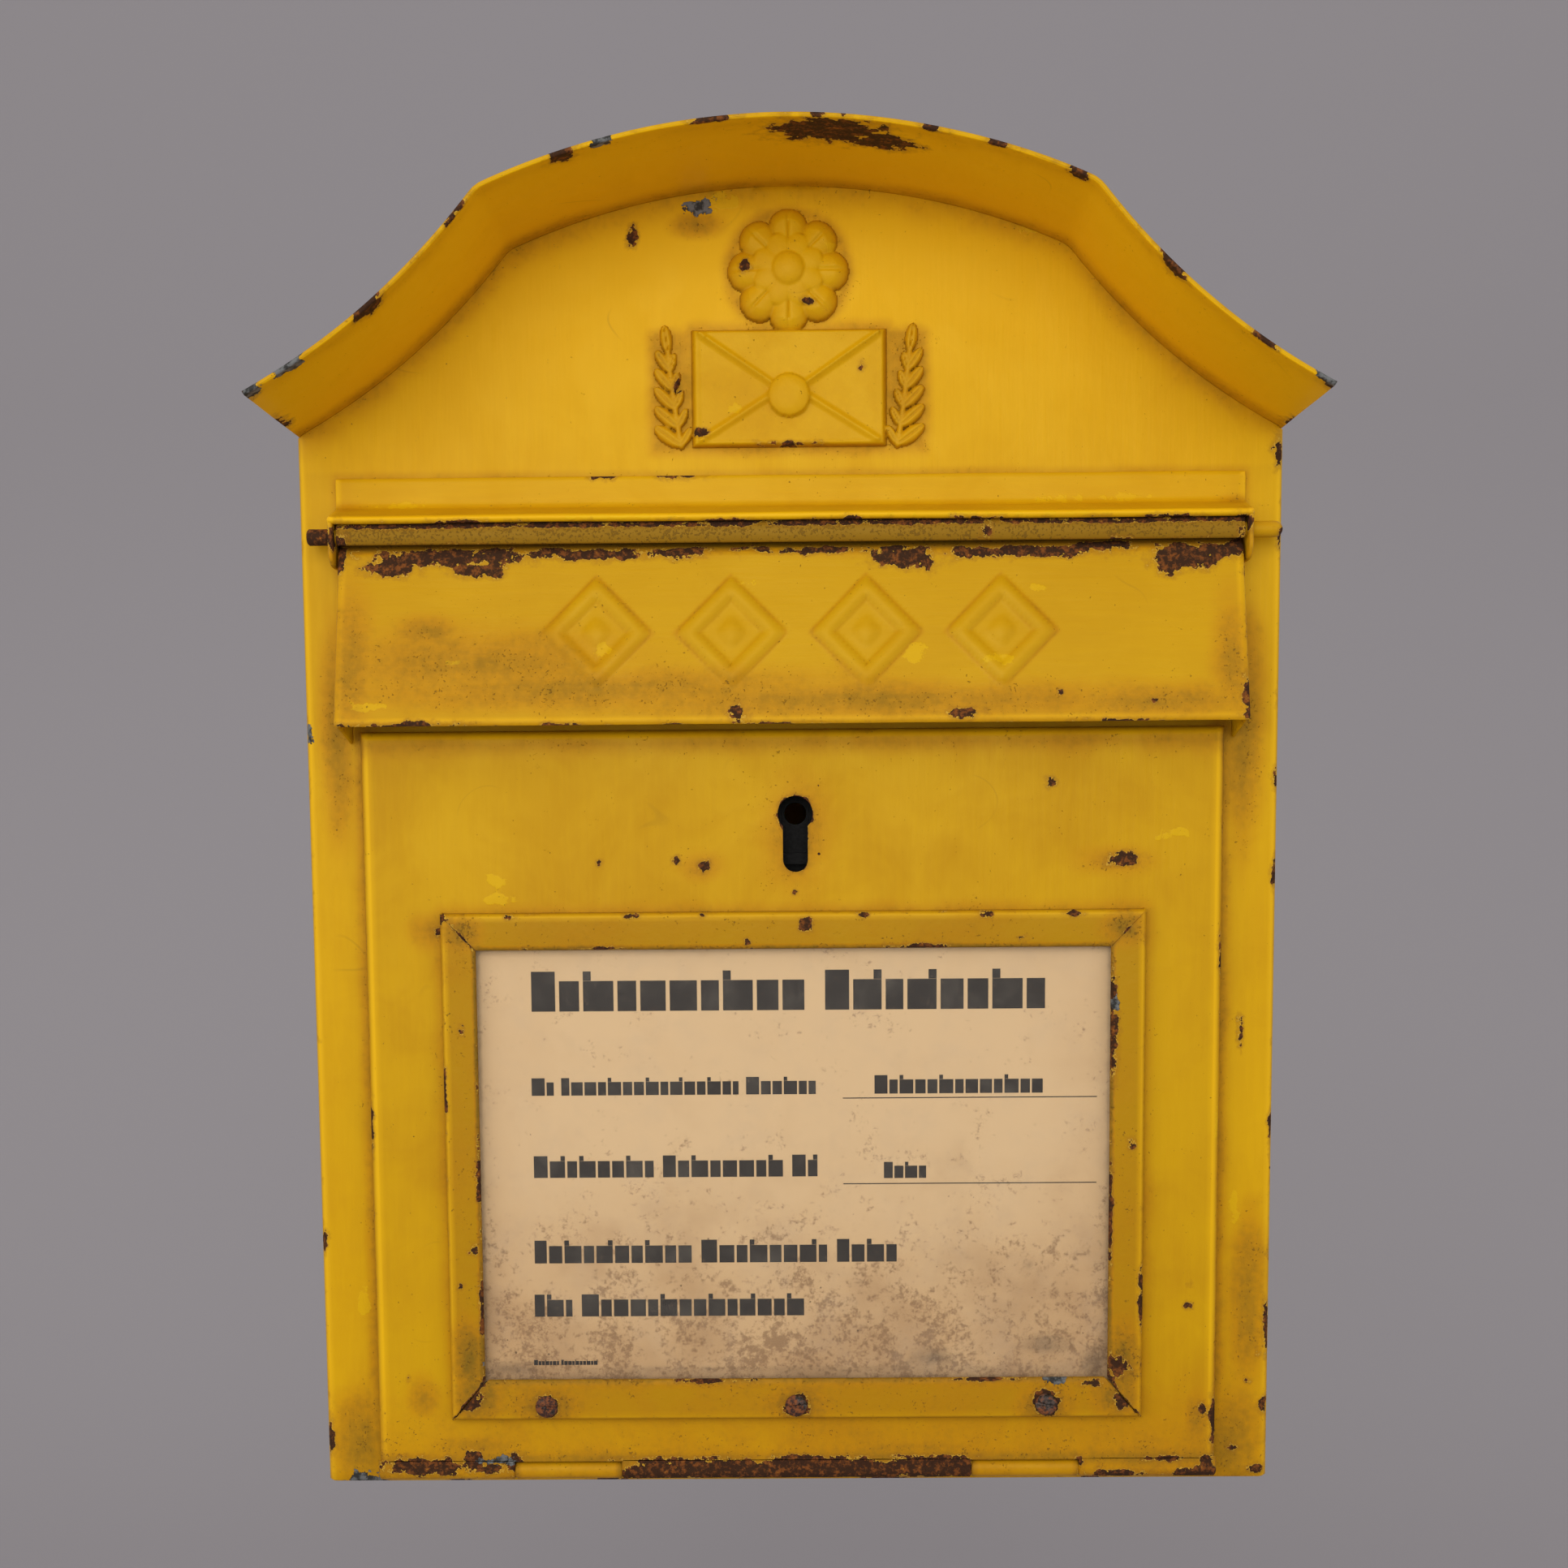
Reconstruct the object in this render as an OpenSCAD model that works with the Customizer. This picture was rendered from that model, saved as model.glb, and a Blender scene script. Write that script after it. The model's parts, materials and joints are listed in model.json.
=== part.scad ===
// Wall letterbox of folded and painted sheet steel.
// Frame: origin under the middle of the box at floor height, the front faces -Y,
// +Y points into the wall, +Z is up. All sizes are in millimetres.

/* [Body] */
// Width of the box over its side walls
body_w = 306; // [290:1:380]
// Depth of the box from the front panel to the wall
body_d = 150; // [120:1:220]
// Height of the eaves above the bottom
wall_h = 333.5; // [333:0.5:420]
// Thickness of the folded sheet
sheet = 1.25; // [1:0.05:1.5]
// Outside radius of the folded front corners
corner_r = 3; // [2:0.5:6]

/* [Roof] */
// How far the roof reaches in front of the front panel
roof_overhang = 60; // [30:1:90]
// Thickness of the roof sheet
roof_sheet = 1.5; // [1:0.1:2.5]
// Half width of the round arch in the middle of the roof
arch_half_w = 84; // [60:1:110]
// Slope at the end of the arch, in degrees
arch_slope = 23.5; // [15:0.5:30]
// Slope just below the bend, in degrees
bend_slope = 51; // [45:0.5:58]
// Slope at the eaves, in degrees
eave_slope = 28; // [15:0.5:35]
// Radius of the bend between the arch and the eaves
bend_r = 8; // [4:0.5:14]
// Depth of the hem under the roof's front edge
hem_d = 8; // [5:0.5:15]

/* [Letter slot and flap] */
// Strip of front panel left beside the hood, each side
hood_margin = 12; // [8:0.5:20]
// How far the hood's top edge lies below the eaves
hood_drop = 13; // [10:0.5:20]
// Height of the hood's flat flange
hood_flange_h = 9.5; // [7:0.5:14]
// How far the hood stands out
hood_out = 14; // [13:0.5:18]
// Slope of the hood's ledge, in degrees
ledge_slope = 17; // [10:0.5:19]
// Diameter of the flap's rod
rod_d = 5; // [4:0.25:5.5]
// Outside diameter of the flap's rolled edge
roll_d = 9.5; // [8.5:0.25:10]
// Length of the flap's plate, down from the rod
flap_len = 59.8; // [50:0.1:66]
// Lean of the hanging flap, in degrees
flap_lean = 13.7; // [10:0.1:18]
// Height of the letter slot
slot_h = 34; // [28:1:38]
// Depth of the sloping guard behind the slot
guard_d = 42; // [30:1:60]

/* [Door] */
// Strip of front panel left beside the door, each side
door_margin = 18.5; // [12:0.5:22]
// How far the door's face stands in front of the front panel
door_proud = 8; // [7:0.25:10]
// Radius of the door's folded edges
door_edge_r = 2; // [1.75:0.25:3]
// Height of the hinge's axis above the bottom
hinge_z = 5.5; // [4:0.25:8]
// Outside diameter of the hinge knuckles
knuckle_d = 6; // [5.5:0.25:7]
// Diameter of the hinge pin
pin_d = 3; // [2:0.25:3.5]
// Distance of each body knuckle from the middle
knuckle_x = 73.5; // [55:0.5:90]
// Length of each body knuckle
knuckle_len = 34; // [20:1:50]

/* [Card and its frame] */
// Width of the notice card
card_w = 210; // [160:1:215]
// Height of the notice card
card_h = 148; // [105:1:150]
// Width of the frame's lip at the sides and the top
frame_lip = 11; // [9:0.5:14]
// Height of the frame's screwed bottom strip
strip_h = 13.2; // [12:0.1:16]
// How far the frame stands in front of the door
frame_proud = 4.5; // [3.5:0.25:6]
// Distance of the outer screws from the middle
screw_x = 79.5; // [40:0.5:90]

/* [Lock] */
// Radius of the keyhole's round part
keyhole_r = 5.5; // [4:0.25:6.5]
// Width of the keyhole's slot
keyhole_slot = 7.8; // [5:0.1:8]
// Width of the lock's case
case_w = 64; // [58:1:80]
// Height of the lock's case
case_h = 40; // [40:1:50]
// Travel of the bolt
bolt_travel = 8; // [5:0.5:9]

/* [Wall fixing] */
// Distance between the wall holes, side to side
wall_hole_w = 200; // [120:1:240]
// Distance between the wall holes, up and down
wall_hole_h = 220; // [120:1:240]
// Diameter of the wall holes
wall_hole_d = 6.5; // [4:0.5:9]

/* [Hidden] */
$fn = 64;

// Clearances
seam = 0.2;            // between welded sheets that meet edge to face
fit = 0.05;            // radial, between a pin or rod and the hole it turns in
slide = 0.2;           // each side of a sliding piece
bolt_fit = 0.1;        // radial, around a screw's shank

// Places across the depth
y_wall = (body_d + roof_overhang) / 2;
y_front = y_wall - body_d;
function out(p) = y_front - p;   // this far in front of the front panel

// Roof line: an arch, a tight bend and a flared stretch to the eaves
half_run = body_w / 2 - roof_sheet * sin(eave_slope);
arch_r = arch_half_w / sin(arch_slope);
bend_x = arch_half_w + bend_r * (sin(bend_slope) - sin(arch_slope));
flare_r = (half_run - bend_x) / (sin(bend_slope) - sin(eave_slope));
apex_z = wall_h + arch_r * (1 - cos(arch_slope))
    + bend_r * (cos(arch_slope) - cos(bend_slope))
    + flare_r * (cos(eave_slope) - cos(bend_slope));
roof_top = apex_z + roof_sheet;

// Hood and flap
hood_w = body_w - 2 * hood_margin;
hood_top = wall_h - hood_drop;
ledge_z = hood_top - hood_flange_h;
ear_t = 1.4;
ear_drop = 19;
bead_r = 1.25;
rod_out = 8;
rod_z = ledge_z - 9.4;
rod_left = hood_w / 2 + 7.3;
rod_right = hood_w / 2 + 9.9;
flap_gap = 0.8;
flap_w = hood_w - 2 * ear_t - 2 * flap_gap;
flap_back = 0.8;                 // the plate's face lies this far behind the rod's axis
flap_start = rod_d / 2 + 1;
flap_low = rod_z - flap_len * cos(flap_lean) - (flap_back + sheet) * sin(flap_lean);
cheek_drop = 4.5;
cheek_gap = 0.9;
slot_w = flap_w - 27.6;
slot_top = rod_z - 5.6;
boss_pitch = flap_w * 0.148;     // four raised lozenges spread over the flap
boss_h = 32;
boss_w = 30;
boss_out = 1.2;

// Door
door_w = body_w - 2 * door_margin;
door_top = flap_low - 0.8;
door_gap = 0.6;                  // between the door's edge and the front panel
knuckle_r = knuckle_d / 2;
hinge_out = door_proud - knuckle_r;
leaf_h = 10.5;
opening_w = door_w - 24;
opening_low = 18;
opening_top = door_top - 11.2;
door_in = door_proud - sheet;    // the inner face of the door's sheet

// Card frame
frame_sheet = 1.1;
card_lap = 6;
frame_low = hinge_z + 18.4;
window_w = card_w - 2 * card_lap;
window_h = card_h - 11;
window_low = frame_low + strip_h;
frame_w = window_w + 2 * frame_lip;
frame_top = window_low + window_h + frame_lip + 0.6;
frame_out = door_proud + frame_proud;
mitre_gap = 0.6;
screw_d = 4;
screw_z = frame_low + 4.6;
head_d = 7.2;
head_h = 2;
nut_h = 3.2;
card_t = 0.4;
pane_t = 1;
card_low = screw_z + screw_d / 2 + 0.05;

// Lock
lock_x = 1;
key_z = door_top - 26.2;
keyhole_low = key_z - 18.2;
case_top = key_z + 12;
case_low = case_top - case_h;
case_wall = 1.4;
plate_t = 1.5;
plate_out = door_in - 0.05;      // the plate's face against the door
case_out = plate_out - plate_t - 0.05;
bolt_out = -3.3;
bolt_t = 5;
bolt_head_w = 24;
bolt_tail_w = 40;
bolt_top = case_top + 1.3;
bolt_low = bolt_top - 35.3;
bolt_tail_h = 12;
case_back = bolt_out - bolt_t - slide;
stud_x = case_w / 2 + 4.3;
stud_z = 15;
stud_d = 4;
stud_len = 5.6;
keeper_w = 52;
keeper_h = 12;
spring_t = 0.6;

// Ornament
envelope_w = 60;
envelope_h = 36;
envelope_z = wall_h + 13;
rosette_r = 19;
rosette_z = envelope_z + envelope_h / 2 + rosette_r - 2;
ornament_t = 3;
screw_depth = 4.5;

// Height of the hood's sloping top at a distance in front of the panel
function ledge(p) = ledge_z - (p - sheet) * tan(ledge_slope);

paint = "goldenrod";
bare = "dimgray";

// A straight run of a profile given in Y and Z, from x0 to x1
module along_x(x0, x1)
    translate([x0, 0, 0]) rotate([90, 0, 90]) linear_extrude(x1 - x0) children();

// A straight run of a profile given in X and Z, from y0 to y1
module along_y(y0, y1)
    translate([0, y1, 0]) rotate([90, 0, 0]) linear_extrude(y1 - y0) children();

// A box between two places on each axis, the second axis counted outward
// from the front panel
module block(x, p, z)
    translate([x[0], out(p[1]), z[0]]) cube([x[1] - x[0], p[1] - p[0], z[1] - z[0]]);

// A round bar along X at a place in front of the panel
module bar_x(x, p, z, d)
    translate([x[0], out(p), z]) rotate([0, 90, 0]) cylinder(d = d, h = x[1] - x[0]);

// A round bar along Y, between two places in front of the panel
module bar_y(x, p, z, d, fn = 48)
    translate([x, out(p[0]), z]) rotate([90, 0, 0]) cylinder(d = d, h = p[1] - p[0], $fn = fn);

// A rectangle in X and Y whose front corners are rounded
module round_front(w, y0, y1, r) {
    translate([-w / 2, y0 + r]) square([w, y1 - y0 - r]);
    translate([-w / 2 + r, y0]) square([w - 2 * r, r + 0.01]);
    for (s = [-1, 1]) translate([s * (w / 2 - r), y0 + r]) circle(r);
}

// Right half of the roof line, moved outward by d, from the apex to the eaves
function right_line(d) =
    let (arch_c = [0, apex_z - arch_r],
        bend_c = arch_c + (arch_r - bend_r) * [sin(arch_slope), cos(arch_slope)],
        flare_c = bend_c + (bend_r + flare_r) * [sin(bend_slope), cos(bend_slope)])
    concat(
        [for (i = [0:12]) let (a = arch_slope * i / 12)
            arch_c + (arch_r + d) * [sin(a), cos(a)]],
        [for (i = [1:4]) let (a = arch_slope + (bend_slope - arch_slope) * i / 4)
            bend_c + (bend_r + d) * [sin(a), cos(a)]],
        [for (i = [1:12]) let (a = bend_slope + (eave_slope - bend_slope) * i / 12)
            flare_c - (flare_r - d) * [sin(a), cos(a)]]);

// The whole line from the left eave to the right one
function roof_line(d) =
    let (line = right_line(d), n = len(line))
    concat([for (i = [n - 1:-1:1]) [-line[i][0], line[i][1]]], line);

function reversed(list) = [for (i = [len(list) - 1:-1:0]) list[i]];

// Everything below the roof line, down to z0
function below_roof(d, z0) =
    let (line = roof_line(d), end = line[len(line) - 1],
        edge = end + 4 * [cos(eave_slope), -sin(eave_slope)])
    concat([[-edge[0], z0], [-edge[0], edge[1]]], line, [edge, [edge[0], z0]]);

module keyhole(p) {
    bar_y(lock_x, p, key_z, 2 * keyhole_r);
    bar_y(lock_x, p, keyhole_low + keyhole_slot / 2, keyhole_slot);
    block([lock_x - keyhole_slot / 2, lock_x + keyhole_slot / 2], p,
        [keyhole_low + keyhole_slot / 2, key_z]);
}

// Front panel and both side walls, folded from one sheet
module body_shell() color(paint) difference() {
    intersection() {
        linear_extrude(roof_top) difference() {
            round_front(body_w, y_front, y_wall, corner_r);
            round_front(body_w - 2 * sheet, y_front + sheet, y_wall + 1, corner_r - sheet);
        }
        along_y(y_front - 1, y_wall + 1) polygon(below_roof(-seam, -1));
    }
    block([-slot_w / 2, slot_w / 2], [-sheet - 1, 1], [slot_top - slot_h, slot_top]);
    block([-opening_w / 2, opening_w / 2], [-sheet - 1, 1], [opening_low, opening_top]);
    for (z = [envelope_z, rosette_z])
        bar_y(0, [-sheet - 1, 1], z, screw_d + 2 * bolt_fit);
}

// Flat back with side flanges and the four wall holes
module back_panel() color(paint) {
    half = body_w / 2 - sheet - seam;
    difference() {
        intersection() {
            translate([-half, y_wall - 12, seam]) cube([2 * half, 12, roof_top]);
            along_y(y_wall - 13, y_wall + 1) polygon(below_roof(-seam, -1));
        }
        translate([-half + sheet, y_wall - 13, -1])
            cube([2 * (half - sheet), 13 - sheet, roof_top + 2]);
        for (x = [-1, 1], z = [-1, 1])
            translate([x * wall_hole_w / 2, y_wall + 1, wall_h * 0.57 + z * wall_hole_h / 2])
                rotate([90, 0, 0]) cylinder(d = wall_hole_d, h = sheet + 2);
    }
}

// Floor with upturned flanges and drain holes
module bottom_pan() color(paint) {
    half = body_w / 2 - 2 * sheet - 2 * seam;
    y0 = y_front + sheet + seam;
    y1 = y_wall - sheet - seam;
    difference() {
        translate([-half, y0, 0]) cube([2 * half, y1 - y0, 14]);
        translate([-half + sheet, y0 + sheet, sheet])
            cube([2 * (half - sheet), y1 - y0 - 2 * sheet, 14]);
        for (x = [-90, 0, 90])
            translate([x, (y0 + y1) / 2, -1]) cylinder(d = 6, h = sheet + 2);
    }
}

// Arched sheet with flared eaves and a hem along its front edge
module roof() color(paint) {
    along_y(out(roof_overhang), y_wall)
        polygon(concat(roof_line(roof_sheet), reversed(roof_line(0))));
    along_y(out(roof_overhang), out(roof_overhang - hem_d))
        polygon(concat(roof_line(0.1), reversed(roof_line(-roof_sheet))));
}

// Hood over the flap: a flange, a sloping ledge with a beaded edge, and two ears
module slot_hood() color(paint) {
    ledge_t = sheet / cos(ledge_slope);
    difference() {
        union() {
            along_x(-hood_w / 2, hood_w / 2) polygon([
                [out(0), hood_top],
                [out(sheet), hood_top],
                [out(sheet), ledge_z],
                [out(hood_out - bead_r), ledge(hood_out - bead_r)],
                [out(hood_out - bead_r), ledge(hood_out - bead_r) - ledge_t],
                [out(0), ledge(0) - ledge_t]]);
            bar_x([-hood_w / 2, hood_w / 2], hood_out - bead_r,
                ledge(hood_out - bead_r) - bead_r, 2 * bead_r);
            for (x = [-hood_w / 2, hood_w / 2 - ear_t]) along_x(x, x + ear_t)
                hood_ear(ledge(hood_out - bead_r) - bead_r);
        }
        bar_x([-hood_w, hood_w], rod_out, rod_z, rod_d + 2 * fit);
    }
}

// Side view of an ear: it fills the space under the ledge and has a round front corner
module hood_ear(front_z) {
    r = 5;
    low = ledge_z - ear_drop;
    polygon(concat(
        [[out(0), ledge_z], [out(0), low]],
        [for (a = [-90:15:0]) [out(hood_out - r + r * cos(a)), low + r + r * sin(a)]],
        [[out(hood_out), front_z]]));
}

// Sloping guard inside, above the slot
module letter_guard() color(paint) {
    top = slot_top + 16;
    bend = slot_top + 4;
    low = slot_top - 28;
    p = -sheet - seam;
    along_x(-slot_w / 2 + 5, slot_w / 2 - 5) polygon([
        [out(p), top],
        [out(p), bend],
        [out(p - guard_d), low],
        [out(p - guard_d - sheet), low + sheet],
        [out(p - sheet), bend + sheet],
        [out(p - sheet), top]]);
}

module flap_rod() color(bare)
    bar_x([-rod_left, rod_right], rod_out, rod_z, rod_d);

// Hinged flap: rolled top edge, leaning plate with raised lozenges, two side cheeks
module letter_flap() color(paint) {
    half = flap_w / 2;
    along_x(-half, half) flap_section();
    translate([0, out(rod_out), rod_z]) rotate([-flap_lean, 0, 0])
        for (i = [-1.5:1:1.5]) translate([i * boss_pitch, flap_back + 0.1, -flap_len * 0.52])
            rotate([90, 0, 0]) linear_extrude(boss_out + 0.1) lozenge();
    for (x = [-half, half - sheet]) along_x(x, x + sheet) flap_cheek();
}

// Side view of the flap's sheet: the roll around the rod and the leaning plate
module flap_section() translate([out(rod_out), rod_z]) difference() {
    union() {
        circle(d = roll_d);
        rotate(-flap_lean) translate([flap_back, -flap_len])
            square([sheet, flap_len - flap_start]);
    }
    circle(d = rod_d + 2 * fit);
}

module lozenge() difference() {
    polygon([[0, -boss_h / 2], [boss_w / 2, 0], [0, boss_h / 2], [-boss_w / 2, 0]]);
    polygon([[0, -boss_h / 3], [boss_w / 3, 0], [0, boss_h / 3], [-boss_w / 3, 0]]);
}

// Side view of a cheek: it closes the wedge between the plate and the front panel
module flap_cheek() {
    function plate(s) = [rod_out + (-flap_back - sheet / 2) * cos(flap_lean) + s * sin(flap_lean),
        rod_z - (flap_back + sheet / 2) * sin(flap_lean) - s * cos(flap_lean)];
    start = plate(flap_start + 2);
    end = plate(flap_len - 0.3);
    polygon([
        [out(start[0]), start[1]],
        [out(end[0]), end[1]],
        [out(cheek_gap), flap_low - cheek_drop],
        [out(cheek_gap), rod_z - 11],
        [out(rod_out - 4), rod_z - 5]]);
}

// A fixed knuckle with the leaf that holds it to the front panel
module hinge_leaf(x0) color(paint) difference() {
    x = [x0 - knuckle_len / 2, x0 + knuckle_len / 2];
    low = hinge_z - knuckle_r;
    wall = (knuckle_d - pin_d) / 2 - fit;
    union() {
        block(x, [0, sheet], [low, low + 2 + leaf_h]);
        block(x, [0, hinge_out], [low, low + wall]);
        bar_x(x, hinge_out, hinge_z, knuckle_d);
    }
    bar_x([x[0] - 1, x[1] + 1], hinge_out, hinge_z, pin_d + 2 * fit);
}
module hinge_leaf_left() hinge_leaf(-knuckle_x);
module hinge_leaf_right() hinge_leaf(knuckle_x);

module hinge_pin() color(bare)
    bar_x([-door_w / 2 + 1, door_w / 2 - 1], hinge_out, hinge_z, pin_d);

// Door: a raised pan with folded edges, its bottom edge rolled around the hinge pin
module door_pan() color(paint) difference() {
    union() {
        intersection() {
            translate([0, 0, hinge_z]) linear_extrude(door_top - hinge_z) difference() {
                round_front(door_w, out(door_proud), out(door_gap), door_edge_r);
                round_front(door_w - 2 * sheet, out(door_in), out(door_gap) + 1,
                    door_edge_r - sheet);
            }
            door_outline();
        }
        block([-door_w / 2 + door_edge_r, door_w / 2 - door_edge_r], [door_gap, door_in + 0.1],
            [door_top - sheet, door_top]);
        bar_x([-door_w / 2, door_w / 2], hinge_out, hinge_z, knuckle_d);
    }
    bar_x([-body_w, body_w], hinge_out, hinge_z, pin_d + 2 * fit);
    for (x0 = [-knuckle_x, knuckle_x])
        block([x0 - knuckle_len / 2 - 0.5, x0 + knuckle_len / 2 + 0.5], [-1, door_proud + 1],
            [-1, hinge_z + knuckle_r + 0.5]);
    keyhole([door_in - 1, door_proud + 1]);
    for (x = [-1:1])
        bar_y(x * screw_x, [door_in - 1, door_proud + 1], screw_z, screw_d + 2 * bolt_fit);
}

// Side view of the door's outline, with its top front edge rounded
module door_outline() along_x(-door_w / 2 - 1, door_w / 2 + 1) {
    r = door_edge_r;
    translate([out(door_proud), 0]) square([door_proud, door_top - r]);
    translate([out(door_proud - r), 0]) square([door_proud - r, door_top]);
    translate([out(door_proud - r), door_top - r]) circle(r);
}

// The card frame's whole ring: an outer wall and a lip over the card
module frame_ring() difference() {
    half = frame_w / 2;
    block([-half, half], [door_proud, frame_out], [frame_low, frame_top]);
    block([-half + frame_sheet, half - frame_sheet], [door_proud - 1, frame_out - frame_sheet],
        [frame_low + frame_sheet, frame_top - frame_sheet]);
    block([-window_w / 2, window_w / 2], [door_proud - 1, frame_out + 1],
        [window_low, window_low + window_h]);
}

// Outline of the bottom strip with its mitred ends, moved inward by gap
module strip_outline(gap) polygon([
    [-frame_w / 2 + gap, frame_low - 1],
    [frame_w / 2 - gap, frame_low - 1],
    [frame_w / 2 - gap, frame_low],
    [window_w / 2 - gap, window_low],
    [window_w / 2 - gap, window_low + 1],
    [-window_w / 2 + gap, window_low + 1],
    [-window_w / 2 + gap, window_low],
    [-frame_w / 2 + gap, frame_low]]);

module card_frame() color(paint) difference() {
    frame_ring();
    along_y(out(frame_out + 1), out(0)) strip_outline(0);
}

module frame_strip() color(paint) difference() {
    intersection() {
        frame_ring();
        along_y(out(frame_out + 1), out(0)) strip_outline(mitre_gap);
    }
    for (x = [-1:1])
        bar_y(x * screw_x, [door_proud, frame_out + 1], screw_z, screw_d + 2 * bolt_fit);
}

// Three slotted screws that hold the bottom strip
module frame_screws() color(bare) for (x = [-1:1]) difference() {
    union() {
        bar_y(x * screw_x, [door_in - nut_h - 1, frame_out + 0.1], screw_z, screw_d);
        bar_y(x * screw_x, [frame_out, frame_out + head_h], screw_z, head_d);
    }
    block([x * screw_x - head_d, x * screw_x + head_d], [frame_out + 0.9, frame_out + head_h + 1],
        [screw_z - 0.5, screw_z + 0.5]);
}

// A hexagon nut on a stud or screw along Y
module nut(x, p, z, d) difference() {
    bar_y(x, p, z, 2 * d, 6);
    bar_y(x, [p[0] - 1, p[1] + 1], z, d + 2 * fit);
}

module frame_nuts() color(bare) for (x = [-1:1])
    nut(x * screw_x, [door_in - nut_h, door_in], screw_z, screw_d);

module notice_card() color("wheat")
    block([-card_w / 2, card_w / 2], [door_proud + 0.05, door_proud + 0.05 + card_t],
        [card_low, card_low + card_h]);

module card_pane() color("aliceblue", 0.4)
    block([-card_w / 2, card_w / 2],
        [door_proud + card_t + 0.1, door_proud + card_t + 0.1 + pane_t],
        [card_low, card_low + card_h]);

// Plate on the door's inner face that carries the lock
module lock_plate() color(bare) difference() {
    half = stud_x + 5.5;
    block([lock_x - half, lock_x + half], [plate_out - plate_t, plate_out],
        [case_low - 2, case_top]);
    keyhole([plate_out - plate_t - 1, plate_out + 1]);
    for (x = [-1, 1], z = [-1, 1])
        bar_y(lock_x + x * stud_x, [plate_out - plate_t - 1, plate_out + 1],
            (case_low + case_top) / 2 + z * stud_z, stud_d + 2 * bolt_fit);
}

// Open box over the bolt
module lock_case() color(bare) difference() {
    x = [lock_x - case_w / 2, lock_x + case_w / 2];
    block(x, [case_back - case_wall, case_out], [case_low, case_top]);
    block([x[0] + case_wall, x[1] - case_wall], [case_back, case_out + 1],
        [case_low + case_wall, case_top - case_wall]);
    block([lock_x - bolt_head_w / 2 - slide, lock_x + bolt_head_w / 2 + slide],
        [bolt_out - bolt_t - slide, bolt_out + slide], [case_top - case_wall - 1, case_top + 1]);
    bar_y(lock_x, [case_back - case_wall - 1, case_back + 1], key_z, 7);
}

// Bolt: a wide tail with a notch for the key, and a head slotted around the key's stem
module lock_bolt() color(bare) difference() {
    p = [bolt_out - bolt_t, bolt_out];
    union() {
        block([lock_x - bolt_head_w / 2, lock_x + bolt_head_w / 2], p, [bolt_low, bolt_top]);
        block([lock_x - bolt_tail_w / 2, lock_x + bolt_tail_w / 2], p,
            [bolt_low, bolt_low + bolt_tail_h]);
    }
    block([lock_x - 4.5, lock_x + 4.5], [p[0] - 1, p[1] + 1],
        [key_z - bolt_travel - 4.5, key_z + 4.5]);
    block([lock_x - 3.5, lock_x + 3.5], [p[0] - 1, p[1] + 1], [bolt_low - 1, bolt_low + 6]);
}

// Bowed flat spring that presses on the bolt's tail
module bolt_spring() color(bare) {
    rise = case_w / 2 - case_wall - bolt_tail_w / 2 - slide - 0.3;
    half = 14;
    r = (half * half + rise * rise) / (2 * rise);
    angle = asin(half / r);
    translate([lock_x + bolt_tail_w / 2 + slide + r, out(bolt_out), bolt_low + 10])
        rotate([90, 0, 0]) rotate([0, 0, 180 - angle])
            mirror([0, 0, 1]) rotate_extrude(angle = 2 * angle)
                translate([r - spring_t, 0]) square([spring_t, bolt_t]);
}

module lock_studs() color(bare) for (x = [-1, 1], z = [-1, 1])
    bar_y(lock_x + x * stud_x, [door_in - stud_len, door_in],
        (case_low + case_top) / 2 + z * stud_z, stud_d);

module lock_nuts() color(bare) for (x = [-1, 1], z = [-1, 1])
    nut(lock_x + x * stud_x, [plate_out - plate_t - nut_h, plate_out - plate_t],
        (case_low + case_top) / 2 + z * stud_z, stud_d);

// Doubler behind the panel that the bolt locks against
module bolt_keeper() color(bare)
    block([lock_x - keeper_w / 2, lock_x + keeper_w / 2], [-sheet - plate_t, -sheet],
        [opening_top + 0.5, opening_top + 0.5 + keeper_h]);

// Cast ornament: a rosette above a sealed envelope between two leaf sprigs
module ornament() color(paint) difference() {
    union() {
        block([-envelope_w / 2, envelope_w / 2], [0, ornament_t],
            [envelope_z - envelope_h / 2, envelope_z + envelope_h / 2]);
        envelope_rib([-envelope_w / 2 + 1, envelope_h / 2 - 1], [0, -envelope_h * 0.1]);
        envelope_rib([envelope_w / 2 - 1, envelope_h / 2 - 1], [0, -envelope_h * 0.1]);
        envelope_rib([-envelope_w / 2 + 1, -envelope_h / 2 + 1], [-envelope_w * 0.14, 0]);
        envelope_rib([envelope_w / 2 - 1, -envelope_h / 2 + 1], [envelope_w * 0.14, 0]);
        bar_y(0, [0, ornament_t + 3], envelope_z - envelope_h * 0.1, 13);
        for (s = [-1, 1], i = [0:3]) sprig_leaf(s, i);
        bar_y(0, [0, ornament_t], rosette_z, 2 * rosette_r - 10);
        for (i = [0:7]) rosette_petal(45 * i);
        bar_y(0, [0, ornament_t + 4], rosette_z, 11);
    }
    for (z = [envelope_z, rosette_z])
        bar_y(0, [-1, screw_depth + 0.3], z, screw_d + 2 * bolt_fit);
}

// A raised rib on the envelope between two points, given from its centre
module envelope_rib(a, b) {
    d = b - a;
    translate([a[0], out(0), envelope_z + a[1]]) rotate([0, -atan2(d[1], d[0]), 0])
        translate([0, -ornament_t - 1.2, -1]) cube([norm(d), ornament_t + 1.2, 2]);
}

module leaf(l, w) {
    r = (l * l / 4 + w * w / 4) / w;
    intersection() {
        translate([l / 2, r - w / 2]) circle(r);
        translate([l / 2, w / 2 - r]) circle(r);
    }
}

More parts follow.
